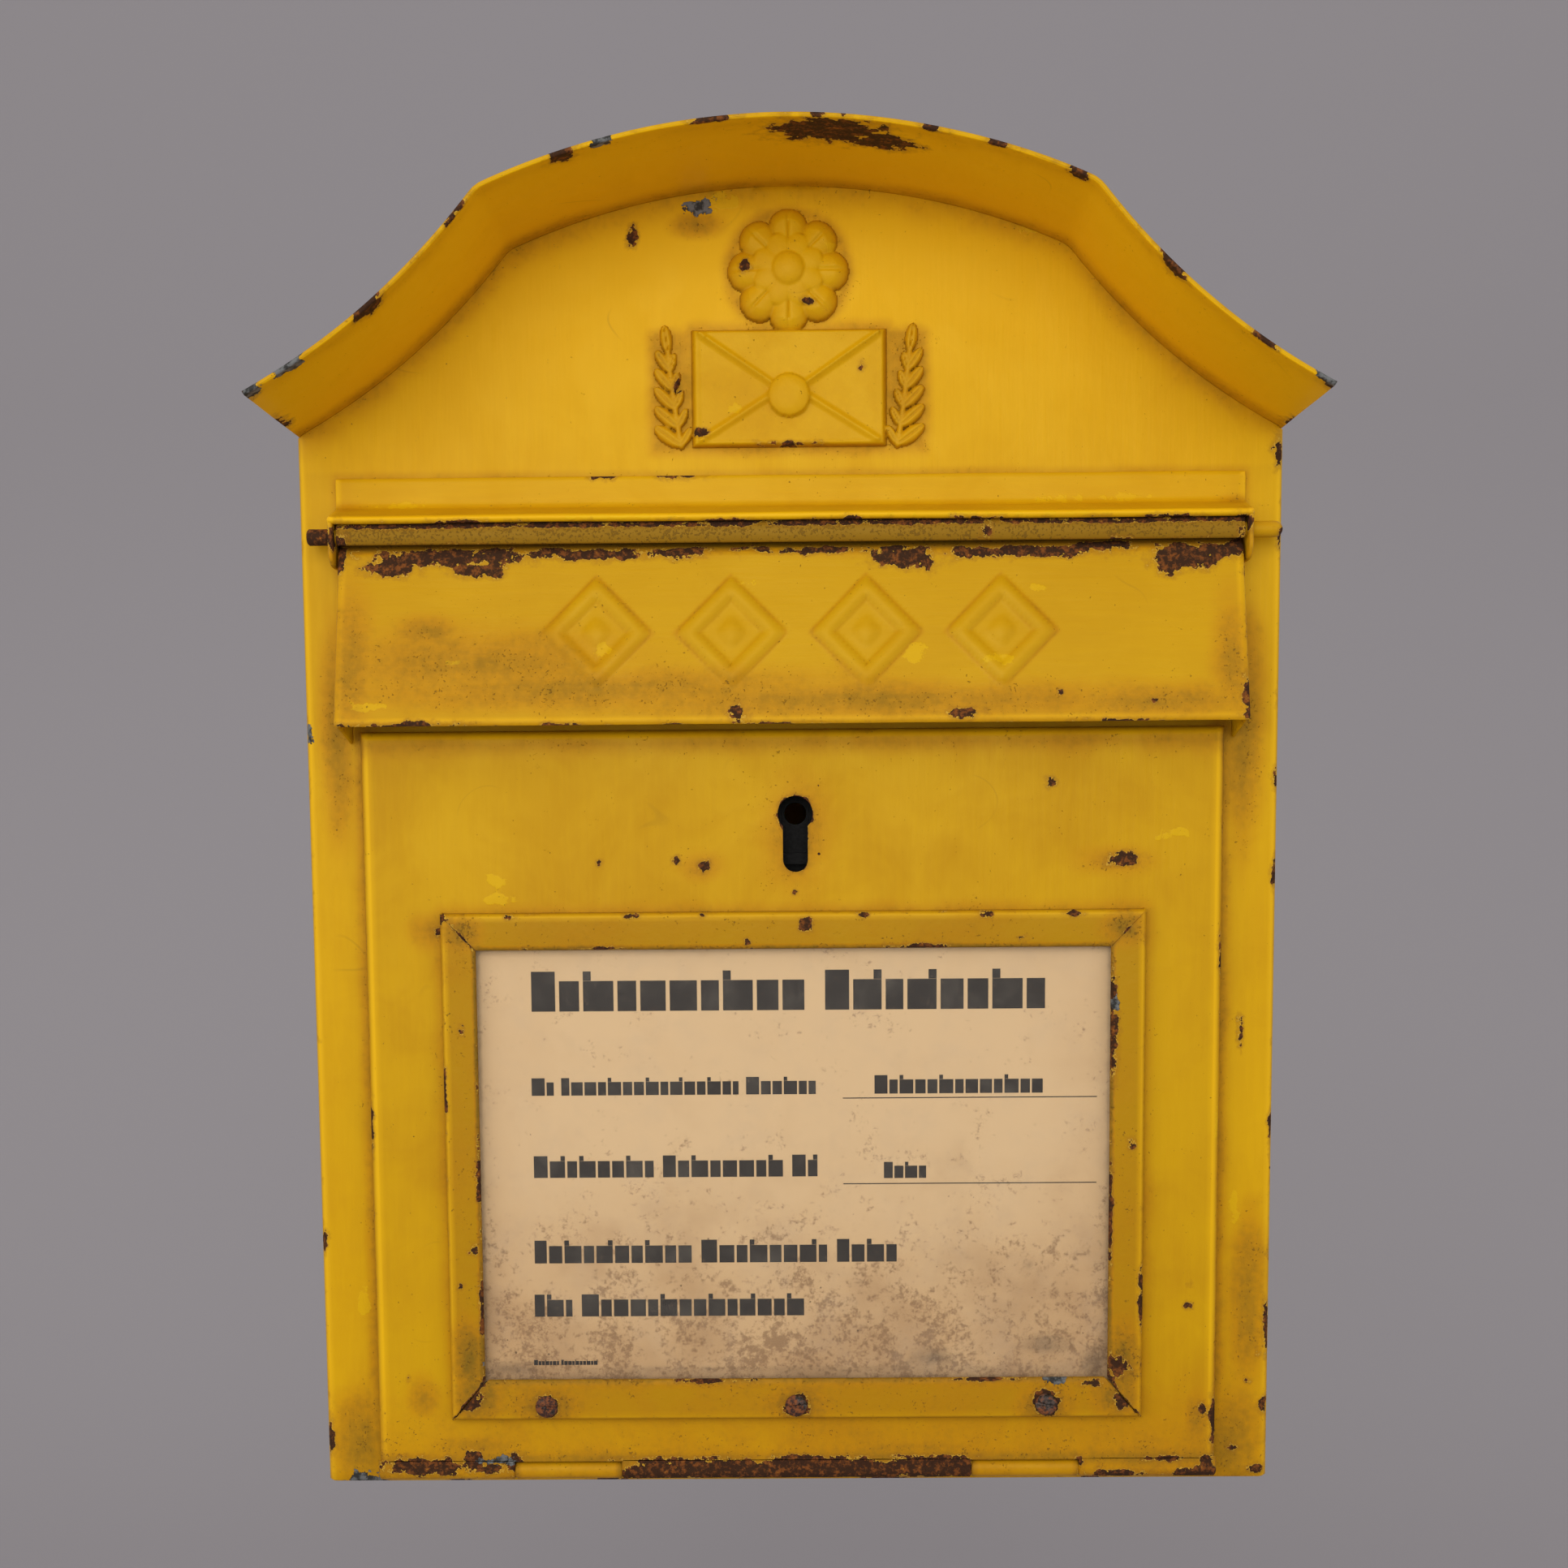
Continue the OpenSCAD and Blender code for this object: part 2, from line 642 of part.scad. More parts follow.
// One leaf of the sprig that rises beside the envelope
module sprig_leaf(s, i)
    translate([s * (envelope_w / 2 - 2 + 2 * i), out(0), envelope_z - 15 + 7 * i])
        rotate([90, 0, 0]) linear_extrude(ornament_t - 0.5)
            rotate([0, 0, 90 - s * (62 - 12 * i)]) leaf(17, 6);

module rosette_petal(angle)
    translate([0, out(0), rosette_z]) rotate([90, 0, 0]) linear_extrude(ornament_t + 1)
        rotate([0, 0, angle]) translate([3, 0]) leaf(rosette_r - 3, 9);

module ornament_screws() color(bare) for (z = [envelope_z, rosette_z]) {
    bar_y(0, [-sheet - 0.1, screw_depth], z, screw_d);
    bar_y(0, [-sheet - 2.4, -sheet], z, 2 * screw_d);
}

body_shell();
back_panel();
bottom_pan();
roof();
slot_hood();
letter_guard();
flap_rod();
letter_flap();
hinge_leaf_left();
hinge_leaf_right();
hinge_pin();
door_pan();
card_frame();
frame_strip();
frame_screws();
frame_nuts();
notice_card();
card_pane();
lock_plate();
lock_case();
lock_bolt();
bolt_spring();
lock_studs();
lock_nuts();
bolt_keeper();
ornament();
ornament_screws();
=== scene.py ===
import functools
import json
import math

import bmesh
import bpy
import numpy as np
from bpy.props import FloatProperty, FloatVectorProperty, PointerProperty
from mathutils import Matrix, Vector

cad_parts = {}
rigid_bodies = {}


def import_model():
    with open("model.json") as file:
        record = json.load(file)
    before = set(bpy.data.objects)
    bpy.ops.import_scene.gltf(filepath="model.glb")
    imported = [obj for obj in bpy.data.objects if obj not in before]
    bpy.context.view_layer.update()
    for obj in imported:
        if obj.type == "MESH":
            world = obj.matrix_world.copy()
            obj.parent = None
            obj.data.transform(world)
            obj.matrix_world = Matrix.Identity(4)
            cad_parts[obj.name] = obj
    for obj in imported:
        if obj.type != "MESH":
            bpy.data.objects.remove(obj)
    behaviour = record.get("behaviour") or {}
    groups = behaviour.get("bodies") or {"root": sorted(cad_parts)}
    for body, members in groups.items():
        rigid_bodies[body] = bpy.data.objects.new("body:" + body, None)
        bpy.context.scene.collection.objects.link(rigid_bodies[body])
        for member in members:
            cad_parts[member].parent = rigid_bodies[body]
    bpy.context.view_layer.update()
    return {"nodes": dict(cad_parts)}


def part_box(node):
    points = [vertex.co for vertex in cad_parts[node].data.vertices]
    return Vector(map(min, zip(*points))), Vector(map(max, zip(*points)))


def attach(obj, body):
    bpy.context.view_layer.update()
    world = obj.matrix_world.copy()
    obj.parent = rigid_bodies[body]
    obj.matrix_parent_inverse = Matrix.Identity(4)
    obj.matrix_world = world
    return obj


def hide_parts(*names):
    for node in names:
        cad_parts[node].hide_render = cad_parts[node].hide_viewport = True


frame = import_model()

bl_info = {
    "name": "Weathered wall letterbox",
    "version": (1, 0, 0),
    "blender": (4, 5, 0),
    "location": "View3D > Sidebar > Letterbox",
    "description": "Builds the sheet steel, casting, card and worn finishes of a wall letterbox",
    "category": "Add Mesh",
}

MM = 0.001


def node_box(node):
    """Lowest and highest corners of a CAD node, in millimetres."""
    low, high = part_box(node)
    return np.array(low) / MM, np.array(high) / MM


# Places read from the frame, in millimetres; p stands for a distance in front of the panel
BODY_LOW, BODY_HIGH = node_box("body_shell")
ROOF_LOW, ROOF_HIGH = node_box("roof")
HOOD_LOW, HOOD_HIGH = node_box("slot_hood")
FLAP_LOW, FLAP_HIGH = node_box("letter_flap")
ROD_LOW, ROD_HIGH = node_box("flap_rod")
DOOR_LOW, DOOR_HIGH = node_box("door_pan")
FRAME_LOW, FRAME_HIGH = node_box("card_frame")
STRIP_LOW, STRIP_HIGH = node_box("frame_strip")
SCREWS_LOW, SCREWS_HIGH = node_box("frame_screws")
CARD_LOW, CARD_HIGH = node_box("notice_card")
LEAF_LOW, LEAF_HIGH = node_box("hinge_leaf_right")
PIN_LOW, PIN_HIGH = node_box("hinge_pin")
ORNAMENT_LOW, ORNAMENT_HIGH = node_box("ornament")

FRONT = BODY_LOW[1]                               # the front panel's outer face
WALL = BODY_HIGH[1]
HALF_W = BODY_HIGH[0]
HINGE_P = FRONT - (PIN_LOW[1] + PIN_HIGH[1]) / 2  # how far the hinge stands out
HINGE_Z = (PIN_LOW[2] + PIN_HIGH[2]) / 2
ROD_P = FRONT - (ROD_LOW[1] + ROD_HIGH[1]) / 2
ROD_Z = (ROD_LOW[2] + ROD_HIGH[2]) / 2
DOOR_P = FRONT - DOOR_LOW[1]
DOOR_TOP = DOOR_HIGH[2]
FRAME_P = FRONT - FRAME_LOW[1]
CARD_P = FRONT - CARD_LOW[1] - 0.16               # the card's face before it warps
SHEET = 1.25
FOLD_R = 3.0                                      # outer radius of the shell's and door's folds
ROLL_R = 4.7                                      # outer radius of the flap's rolled edge
ROD_R = 2.5
KEY_X, KEY_Z, KEY_R = 1.0, DOOR_TOP - 26.2, 5.5   # the keyhole's round part
KEY_SLOT_R, KEY_SLOT_LOW = 3.9, 18.2              # and its slot, down to its foot
KNUCKLE_X, KNUCKLE_HALF = (LEAF_HIGH[0] + LEAF_LOW[0]) / 2, (LEAF_HIGH[0] - LEAF_LOW[0]) / 2
HOOD_X, HOOD_TOP = HOOD_HIGH[0], HOOD_HIGH[2]
FLAP_X, DOOR_X = FLAP_HIGH[0], DOOR_HIGH[0]
ROLL_TOP = HINGE_Z + 3.5                          # where the door's sheet turns into its roll
WINDOW_X, WINDOW_TOP, WINDOW_FOOT = FRAME_HIGH[0] - 10.6, FRAME_HIGH[2] - 11.3, STRIP_HIGH[2]
FRAME_X, FRAME_TOP = FRAME_HIGH[0] - 0.4, FRAME_HIGH[2] - 0.3   # the frame's folded edges


# ---------------------------------------------------------------- sizes and colours

class LetterboxShape(bpy.types.PropertyGroup):
    """Sizes that shape the visible pieces, in millimetres and degrees."""

    arch_half: FloatProperty(name="Arch half width", default=84.0,
        description="Half width of the round arch in the middle of the roof")
    arch_slope: FloatProperty(name="Arch slope", default=math.radians(23.5), subtype="ANGLE",
        description="Slope at the end of the arch")
    bend_slope: FloatProperty(name="Bend slope", default=math.radians(51), subtype="ANGLE",
        description="Slope just below the bend")
    eave_slope: FloatProperty(name="Eave slope", default=math.radians(28), subtype="ANGLE",
        description="Slope at the eaves")
    bend_r: FloatProperty(name="Bend radius", default=8.0,
        description="Radius of the bend between the arch and the eaves")
    roof_sheet: FloatProperty(name="Roof sheet", default=1.5,
        description="Thickness of the roof sheet")
    ledge_slope: FloatProperty(name="Ledge slope", default=math.radians(17), subtype="ANGLE",
        description="Slope of the hood's ledge")
    flap_lean: FloatProperty(name="Flap lean", default=math.radians(13.7), subtype="ANGLE",
        description="Lean of the hanging flap")
    relief: FloatProperty(name="Flap relief", default=1.4,
        description="Height of the lozenges pressed into the flap")
    card_wave: FloatProperty(name="Card wave", default=0.16,
        description="How far the old card has warped")


class LetterboxColours(bpy.types.PropertyGroup):
    """Main colours of the finishes."""

    enamel: FloatVectorProperty(name="Enamel", subtype="COLOR", size=3, min=0, max=1,
        default=(0.610, 0.335, 0.0030), description="The yellow enamel where it is clean")
    # Painted light and painted highlights: a lighter enamel laid where the gable and the roof's
    # underside should catch more light, and along folded edges
    enamel_painted_light: FloatVectorProperty(name="Sheltered enamel", subtype="COLOR", size=3, min=0, max=1,
        default=(0.82, 0.455, 0.004), description="The enamel where the roof has kept it clean")
    enamel_deep: FloatVectorProperty(name="Aged enamel", subtype="COLOR", size=3, min=0, max=1,
        default=(0.50, 0.245, 0.0022), description="The enamel where it has darkened")
    enamel_worn: FloatVectorProperty(name="Worn enamel", subtype="COLOR", size=3, min=0, max=1,
        default=(0.28, 0.135, 0.003), description="The brown that handling has left on the enamel")
    grime: FloatVectorProperty(name="Grime", subtype="COLOR", size=3, min=0, max=1,
        default=(0.150, 0.088, 0.009), description="Greenish film of old dirt")
    # Painted shade: the orange that the yellow enamel shows in shaded corners and folds
    painted_shade: FloatVectorProperty(name="Recess", subtype="COLOR", size=3, min=0, max=1,
        default=(0.45, 0.175, 0.003), description="The enamel's orange tone in corners and folds")
    rust_dark: FloatVectorProperty(name="Dark rust", subtype="COLOR", size=3, min=0, max=1,
        default=(0.036, 0.013, 0.009), description="Old rust")
    rust_bright: FloatVectorProperty(name="Bright rust", subtype="COLOR", size=3, min=0, max=1,
        default=(0.21, 0.062, 0.014), description="Fresh rust at the edge of a chip")
    card: FloatVectorProperty(name="Card", subtype="COLOR", size=3, min=0, max=1,
        default=(0.62, 0.425, 0.225), description="The aged notice card")
    ink: FloatVectorProperty(name="Ink", subtype="COLOR", size=3, min=0, max=1,
        default=(0.022, 0.017, 0.014), description="The card's printed bars")
    backdrop: FloatVectorProperty(name="Backdrop", subtype="COLOR", size=3, min=0, max=1,
        default=(0.36, 0.34, 0.357), description="Floor and backdrop")


def shape():
    return bpy.context.scene.letterbox_shape


def colours():
    return bpy.context.scene.letterbox_colours


# ---------------------------------------------------------------- mesh helpers

def place(p):
    """Y of a place p millimetres in front of the front panel."""
    return FRONT - p


def wave(a, b, size, seed=0.0):
    """A smooth wandering value between about -1 and 1, from two coordinates in millimetres."""
    a, b = np.asarray(a) / size, np.asarray(b) / size
    return (np.sin(1.7 * a + 1.3 * b + seed) * np.cos(1.1 * b - 0.6 * a + 2.1 * seed)
            + 0.6 * np.sin(2.9 * a - 1.9 * b + 4.7 * seed)
            + 0.4 * np.cos(4.3 * b + 3.1 * a + seed)) / 2


def arc(centre, r, start, end, steps):
    """Points of a circular arc, angles in degrees, both ends included."""
    a = np.radians(np.linspace(start, end, steps + 1))
    return np.stack([centre[0] + r * np.cos(a), centre[1] + r * np.sin(a)], axis=1)


def spread(points, step):
    """A polyline's points at even distances of about step."""
    points = np.asarray(points, float)
    run = np.concatenate([[0], np.cumsum(np.linalg.norm(np.diff(points, axis=0), axis=1))])
    at = np.linspace(0, run[-1], max(2, int(round(run[-1] / step)) + 1))
    return np.stack([np.interp(at, run, points[:, k]) for k in range(points.shape[1])], axis=1)


def mesh_object(name, vertices, faces):
    """An object at the origin from vertices in millimetres."""
    mesh = bpy.data.meshes.new(name)
    mesh.from_pydata((np.asarray(vertices) * MM).tolist(), [], faces)
    mesh.validate()
    obj = bpy.data.objects.new(name, mesh)
    bpy.context.scene.collection.objects.link(obj)
    return obj


def sheet_grid(points, thickness, rim=0.42):
    """Vertices and faces of a bent sheet. points is an (m, n, 3) grid of its outer face; the
    inner face lies thickness behind it, and the free edges are rounded."""
    m, n, _ = points.shape
    du, dv = np.gradient(points, axis=0), np.gradient(points, axis=1)
    normal = np.cross(du, dv)
    length = np.linalg.norm(normal, axis=2, keepdims=True)
    normal = normal / np.maximum(length, 1e-9)
    folded = length[..., 0] < 1e-6
    while folded.any():          # where the grid is pinched, borrow the neighbours' normals
        wide = np.pad(np.where(folded[..., None], 0, normal), ((1, 1), (1, 1), (0, 0)))
        total = wide[:-2, 1:-1] + wide[2:, 1:-1] + wide[1:-1, :-2] + wide[1:-1, 2:]
        reach = np.linalg.norm(total, axis=2)
        found = folded & (reach > 1e-6)
        normal[found] = total[found] / reach[found][:, None]
        folded &= ~found
    inner = points - normal * thickness
    index = np.arange(m * n).reshape(m, n)
    quads = np.stack([index[:-1, :-1], index[1:, :-1], index[1:, 1:], index[:-1, 1:]], axis=2)
    outer_faces = quads.reshape(-1, 4)
    faces = outer_faces.tolist() + (outer_faces[:, ::-1] + m * n).tolist()
    loop = ([(i, 0) for i in range(m)] + [(m - 1, j) for j in range(1, n)]
            + [(i, n - 1) for i in range(m - 2, -1, -1)] + [(0, j) for j in range(n - 2, 0, -1)])
    middle = []
    for i, j in loop:
        away = np.zeros(3)
        for at, last, step in ((i, m - 1, du[i, j]), (j, n - 1, dv[i, j])):
            if at in (0, last):
                away += (-1 if at == 0 else 1) * step / max(np.linalg.norm(step), 1e-9)
        away /= max(np.linalg.norm(away), 1e-9)
        middle.append((points[i, j] + inner[i, j]) / 2 + away * thickness * rim)
    count, base = len(loop), 2 * m * n
    for k in range(count):
        outer_a, outer_b = int(index[loop[k]]), int(index[loop[(k + 1) % count]])
        rim_a, rim_b = base + k, base + (k + 1) % count
        faces.append([outer_b, outer_a, rim_a, rim_b])
        faces.append([rim_b, rim_a, outer_a + m * n, outer_b + m * n])
    vertices = np.concatenate([points.reshape(-1, 3), inner.reshape(-1, 3), np.array(middle)])
    return vertices, faces


def bent_sheet(x, p, z, thickness, turned=False, rim=0.42):
    """A bent sheet from grids of its x, p and z; turned puts its thickness on the other side."""
    points = np.stack(np.broadcast_arrays(x, place(p), z), axis=2)
    return sheet_grid(points[:, ::-1] if turned else points, thickness, rim)


def sweep(along, profile):
    """Grids of x, p and z for a profile in (p, z) repeated at each place along X."""
    x, p = np.meshgrid(along, profile[:, 0], indexing="ij")
    return x, p, np.meshgrid(along, profile[:, 1], indexing="ij")[1]


def join_parts(parts):
    """One list of vertices and faces from several."""
    vertices, faces, base = [], [], 0
    for v, f in parts:
        vertices.append(np.asarray(v, float))
        faces += [[i + base for i in face] for face in f]
        base += len(v)
    return np.concatenate(vertices), faces


def ring_faces(rows, steps):
    """Faces between closed rings of points, each ring steps long."""
    faces = []
    for row in range(rows - 1):
        for k in range(steps):
            a, b = row * steps + k, row * steps + (k + 1) % steps
            faces.append([a, b, b + steps, a + steps])
    return faces


def plate_part(outline, x0, x1, edge=0.35):
    """A flat plate whose outline is given in (p, z), between two places on X, with eased
    edges."""
    outline = np.asarray(outline, float)
    centre, after = outline.mean(axis=0), np.roll(outline, -1, axis=0)
    tangent = after - np.roll(outline, 1, axis=0)
    normal = np.stack([tangent[:, 1], -tangent[:, 0]], axis=1)
    normal /= np.maximum(np.linalg.norm(normal, axis=1, keepdims=True), 1e-9)
    area = np.sum(outline[:, 0] * after[:, 1] - outline[:, 1] * after[:, 0])
    if area < 0:
        normal = -normal
    inset = outline - normal * edge
    rings = [(x0, inset), (x0 + edge, outline), (x1 - edge, outline), (x1, inset)]
    n = len(outline)
    vertices = [[x, place(q[0]), q[1]] for x, ring in rings for q in ring]
    vertices += [[x0, place(centre[0]), centre[1]], [x1, place(centre[0]), centre[1]]]
    faces = ring_faces(4, n)
    for k in range(n):
        faces.append([4 * n, (k + 1) % n, k])
        faces.append([4 * n + 1, 3 * n + k, 3 * n + (k + 1) % n])
    if area > 0:
        faces = [f[::-1] for f in faces]
    return np.array(vertices), faces


def lathe_part(profile, steps):
    """A solid turned about X: profile is a list of (x, radius)."""
    angle = np.linspace(0, 2 * math.pi, steps, endpoint=False)
    vertices = [[x, r * math.cos(a), r * math.sin(a)] for x, r in profile for a in angle]
    last = [(len(profile) - 1) * steps + k for k in range(steps)]
    return np.array(vertices), (ring_faces(len(profile), steps)
        + [list(range(steps))[::-1], last])


def box_part(low, high):
    """A box from its lowest and highest corners."""
    x, y, z = zip(low, high)
    vertices = [[x[i], y[j], z[k]] for i in (0, 1) for j in (0, 1) for k in (0, 1)]
    faces = [[0, 1, 3, 2], [4, 6, 7, 5], [0, 4, 5, 1], [2, 3, 7, 6], [0, 2, 6, 4], [1, 5, 7, 3]]
    return np.array(vertices, float), faces


def prism_part(outline, y0, y1):
    """A prism along Y whose outline is given in (x, z)."""
    n = len(outline)
    vertices = [[q[0], y, q[1]] for y in (y0, y1) for q in outline]
    return np.array(vertices), (ring_faces(2, n)
        + [list(range(n))[::-1], [n + k for k in range(n)]])


def bake_modifiers(obj):
    """Turns an object's evaluated shape into its plain mesh."""
    depsgraph = bpy.context.evaluated_depsgraph_get()
    mesh = bpy.data.meshes.new_from_object(obj.evaluated_get(depsgraph))
    old = obj.data
    obj.modifiers.clear()
    obj.data = mesh
    bpy.data.meshes.remove(old)
    mesh.name = obj.name


def clean_normals(obj):
    """Merges doubled points, drops empty faces and turns every face outward."""
    bm = bmesh.new()
    bm.from_mesh(obj.data)
    bmesh.ops.remove_doubles(bm, verts=bm.verts, dist=0.00002)
    bmesh.ops.dissolve_degenerate(bm, edges=bm.edges, dist=0.000005)
    bmesh.ops.recalc_face_normals(bm, faces=bm.faces)
    bm.to_mesh(obj.data)
    bm.free()


def cut(obj, cutters):
    """Cuts boxes and bars out of an object."""
    tools = bpy.data.collections.new("cutters")
    for part in cutters:
        tool = mesh_object("cutter", *part)
        bpy.context.scene.collection.objects.unlink(tool)
        tools.objects.link(tool)
        clean_normals(tool)
    modifier = obj.modifiers.new("cut", "BOOLEAN")
    modifier.operand_type = "COLLECTION"
    modifier.collection = tools
    modifier.solver = "EXACT"
    bake_modifiers(obj)
    for tool in list(tools.objects):
        bpy.data.objects.remove(tool)
    bpy.data.collections.remove(tools)


def smooth(obj, angle):
    obj.data.shade_smooth()
    obj.data.set_sharp_from_angle(angle=math.radians(angle))


def paint_with(obj, name):
    """Gives an object one finish."""
    obj.data.materials.clear()
    obj.data.materials.append(finish(name))


def write_wear(obj, wear):
    """Stores the wear fields as point attributes. wear maps (x, p, z) in millimetres to the
    fields that the piece has; the finish takes the others as 0."""
    count = len(obj.data.vertices)
    co = np.empty(count * 3)
    obj.data.vertices.foreach_get("co", co)
    x, y, z = (co.reshape(-1, 3) / MM).T
    for name, values in wear(x, FRONT - y, z).items():
        values = np.broadcast_to(values, count).astype(np.float32).copy()
        obj.data.attributes.new(name, "FLOAT", "POINT").data.foreach_set("value", values)


def finish_piece(obj, body, nodes, finish_name, wear=None, angle=50):
    """Cleans a piece, gives it its finish and wear, and hands it to the frame."""
    clean_normals(obj)
    smooth(obj, angle)
    if wear:
        write_wear(obj, wear)
    paint_with(obj, finish_name)
    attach(obj, body)
    if nodes:
        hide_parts(*nodes)


# ---------------------------------------------------------------- wear fields

def spots(a, b, places):
    """Highest of a set of soft elliptic spots: above 0.5 inside, 0.5 at the rim and falling away
    outside it, more gently for small spots so that noise can break their rims up."""
    field = np.zeros_like(a)
    for ca, cb, ra, rb in places:
        reach = np.hypot((a - ca) / ra, (b - cb) / rb)
        field = np.maximum(field, 0.5 + (1 - reach) * min(0.46, 0.17 + min(ra, rb) / 14))
    return np.clip(field, 0, 1)


def most(*fields):
    """The highest of several fields at every point."""
    return functools.reduce(np.maximum, fields)


def outside(x, z, half, low, high):
    """Distance outside an upright rectangle centred on x = 0."""
    return np.hypot(np.maximum(np.abs(x) - half, 0), np.maximum(np.maximum(low - z, z - high), 0))


def near(distance, reach):
    """1 at a line or edge, falling to 0 at reach."""
    return np.clip(1 - np.abs(distance) / reach, 0, 1)


# Each row is a place across, a place up and its half sizes, in millimetres.
GABLE_RUST = [(-48, 392.6, 1.5, 2.2), (36, 333, 1.0, 1.0), (151.6, 326, 2.0, 3.4),
    (152.6, 226, 1.5, 3), (152.8, 196, 1.2, 5), (152.8, 116, 1.1, 6), (152.4, 50, 1.5, 6),
    (142, 10, 2.2, 1.6), (-152.4, 79, 1.3, 3.5), (-152.2, 15, 1.8, 5), (150, 3, 3, 1.6),
    (142, 146, 0.8, 4), (-60, 0.5, 5, 1.0), (30, 0.5, 7, 0.9), (96, 0.5, 4, 1.0),
    (-110, 0.8, 3, 1.1), (151, 24, 1.6, 2), (146, 32, 1.0, 1.0), (149, 41, 0.8, 1.2),
    (152.5, 300, 1.1, 3)]
GABLE_BARE = [(-152, 241.7, 1.6, 3), (-142, 0.8, 8, 2.3), (-28, 401, 4.6, 2.5)]
GABLE_FRESH = [(-19, 402, 5, 2.6), (76, 394, 5.5, 2.2), (141, 92, 1.5, 6), (-140, 60, 2, 5)]
GABLE_DIRT = [(36, 333, 4, 4), (141, 10, 9, 16), (-141, 12, 9, 14), (146, 60, 5, 22),
    (142, 240, 5, 30), (-143, 240, 4, 26), (-28, 396, 6, 3)]
HOOD_RUST = [(-58, 320.6, 3, 1.2), (-34.3, 320.8, 5.5, 1.5), (-100, 304.8, 6, 0.8),
    (-20, 304.6, 9, 0.7), (60, 304.8, 8, 0.8), (118, 304.8, 7, 0.9), (138, 303, 4, 3),
    (-138, 301, 3, 4), (20, 305, 3, 0.8)]
HOOD_FRESH = [(95, 312.5, 12, 1.2), (-120, 312, 6, 1.0), (-60, 306.2, 20, 0.7),
    (70, 306.2, 22, 0.7)]
ROOF_RUST = [(12, 50, 15, 9), (27, 45, 9, 6), (-62, 58, 4, 4), (81, 59, 2.4, 2.4),
    (107, 59, 3.4, 3.4), (-117, 58, 4.2, 4), (152, 60, 3, 5), (-151, 60, 3, 5), (40, 60, 2.5, 1.5),
    (-20, 60, 5, 1.0), (58, 60, 2, 1.0), (-92, 60, 2.6, 1.2), (133, 60, 2.6, 1.3),
    (-152, 20, 2, 7), (152.5, -40, 2.2, 9), (-152.5, -90, 2.2, 8), (152.5, 10, 2, 5)]
ROOF_BARE = [(-51.5, 59, 3.2, 2.5), (-140, 59, 4, 2.5), (-150, 58, 3, 3), (150, 60, 3, 2.5)]
FLAP_RUST = [(-104, 295.0, 24, 2.6), (-122, 291.5, 8, 2.4), (-96, 291, 7, 2.2),
    (-60, 295.4, 24, 1.5), (-38, 296, 12, 0.8), (35, 293.6, 9, 3.0), (41, 291.5, 4, 2),
    (66, 295.4, 24, 1.6), (121, 293.6, 9.5, 4.0), (117, 290.5, 4, 3), (131, 295, 7, 2.5),
    (60, 301.5, 1.6, 2.2), (96, 297.2, 12, 1.4), (8, 296.2, 12, 0.9), (-16, 246, 3, 2.6),
    (52, 245.6, 4.2, 1.7), (-121, 243.4, 15, 1.1), (138.4, 251, 1.3, 5), (138.5, 245.5, 2.2, 1.6),
    (82, 252, 0.8, 0.8), (110, 249, 0.7, 0.7), (-70, 243.2, 5, 0.7), (100, 243.2, 7, 0.7),
    (-5, 243.2, 7, 0.6), (-138, 296, 2, 5), (137.5, 297, 2, 4)]
FLAP_FRESH = [(-101, 262.5, 2.6, 1.1), (-58, 266, 3, 2), (38, 264, 3, 2.5), (-14, 286, 3, 1.2),
    (64, 262, 4, 1.4), (-130, 249, 5, 1.4), (75, 284, 3, 1.4)]
FLAP_DIRT = [(-96, 262, 38, 9), (-60, 254, 70, 6), (30, 250, 90, 5), (-111, 272, 8, 4),
    (110, 249, 28, 5), (0, 298.0, 140, 2.5), (-134, 262, 6, 20), (134, 262, 5, 18)]
DOOR_RUST = [(80.6, 225, 1.5, 1.6), (104.3, 201, 5.2, 1.9), (-27.8, 199.6, 1.8, 1.7),
    (-36.6, 201.6, 1, 1), (-60, 201.1, 0.9, 0.9), (-110.8, 180, 2.6, 1.2), (125.3, 65.8, 0.9, 0.9),
    (124.9, 59.3, 0.9, 0.9), (-121, 8.0, 10, 2.2), (-104, 10, 3.2, 3.0), (131, 8, 2.4, 2.2),
    (-124.4, 36, 0.9, 1.1), (1, 191.4, 0.9, 0.9), (-40, 9.6, 14, 0.9), (5, 9.6, 16, 0.9),
    (44, 9.6, 12, 0.9), (129.8, 25.5, 1.1, 1.4), (134.3, 170, 0.9, 5), (-134.3, 120, 0.9, 6),
    (133.8, 20, 1.2, 7), (118, 9, 6, 0.9), (-90.5, 8.5, 2.5, 2.4), (90.5, 8.5, 1.6, 1.6)]
DOOR_BARE = [(-97, 9.4, 5, 1.4)]
DOOR_FRESH = [(-93, 189.7, 8.5, 1.3), (-93, 196, 3, 1.6), (134, 119, 1, 5), (-20, 150, 1, 1),
    (118, 209, 5, 1.4)]
DOOR_DIRT = [(1, 210, 9, 15), (-111, 180, 8, 5), (100, 201, 11, 4), (-28, 200, 6, 4),
    (-120, 30, 5, 7), (128, 22, 4, 8), (-104, 14, 18, 4), (40, 13, 26, 2.5)]
ROLL_RUST = [(-4, 5.2, 64, 4.4), (30, 6, 40, 3.0), (-40, 5, 24, 2.8), (-120, 6.6, 10, 1.7),
    (-98, 7, 3, 2), (104, 4, 9, 1.4), (128, 4, 7, 2.4)]
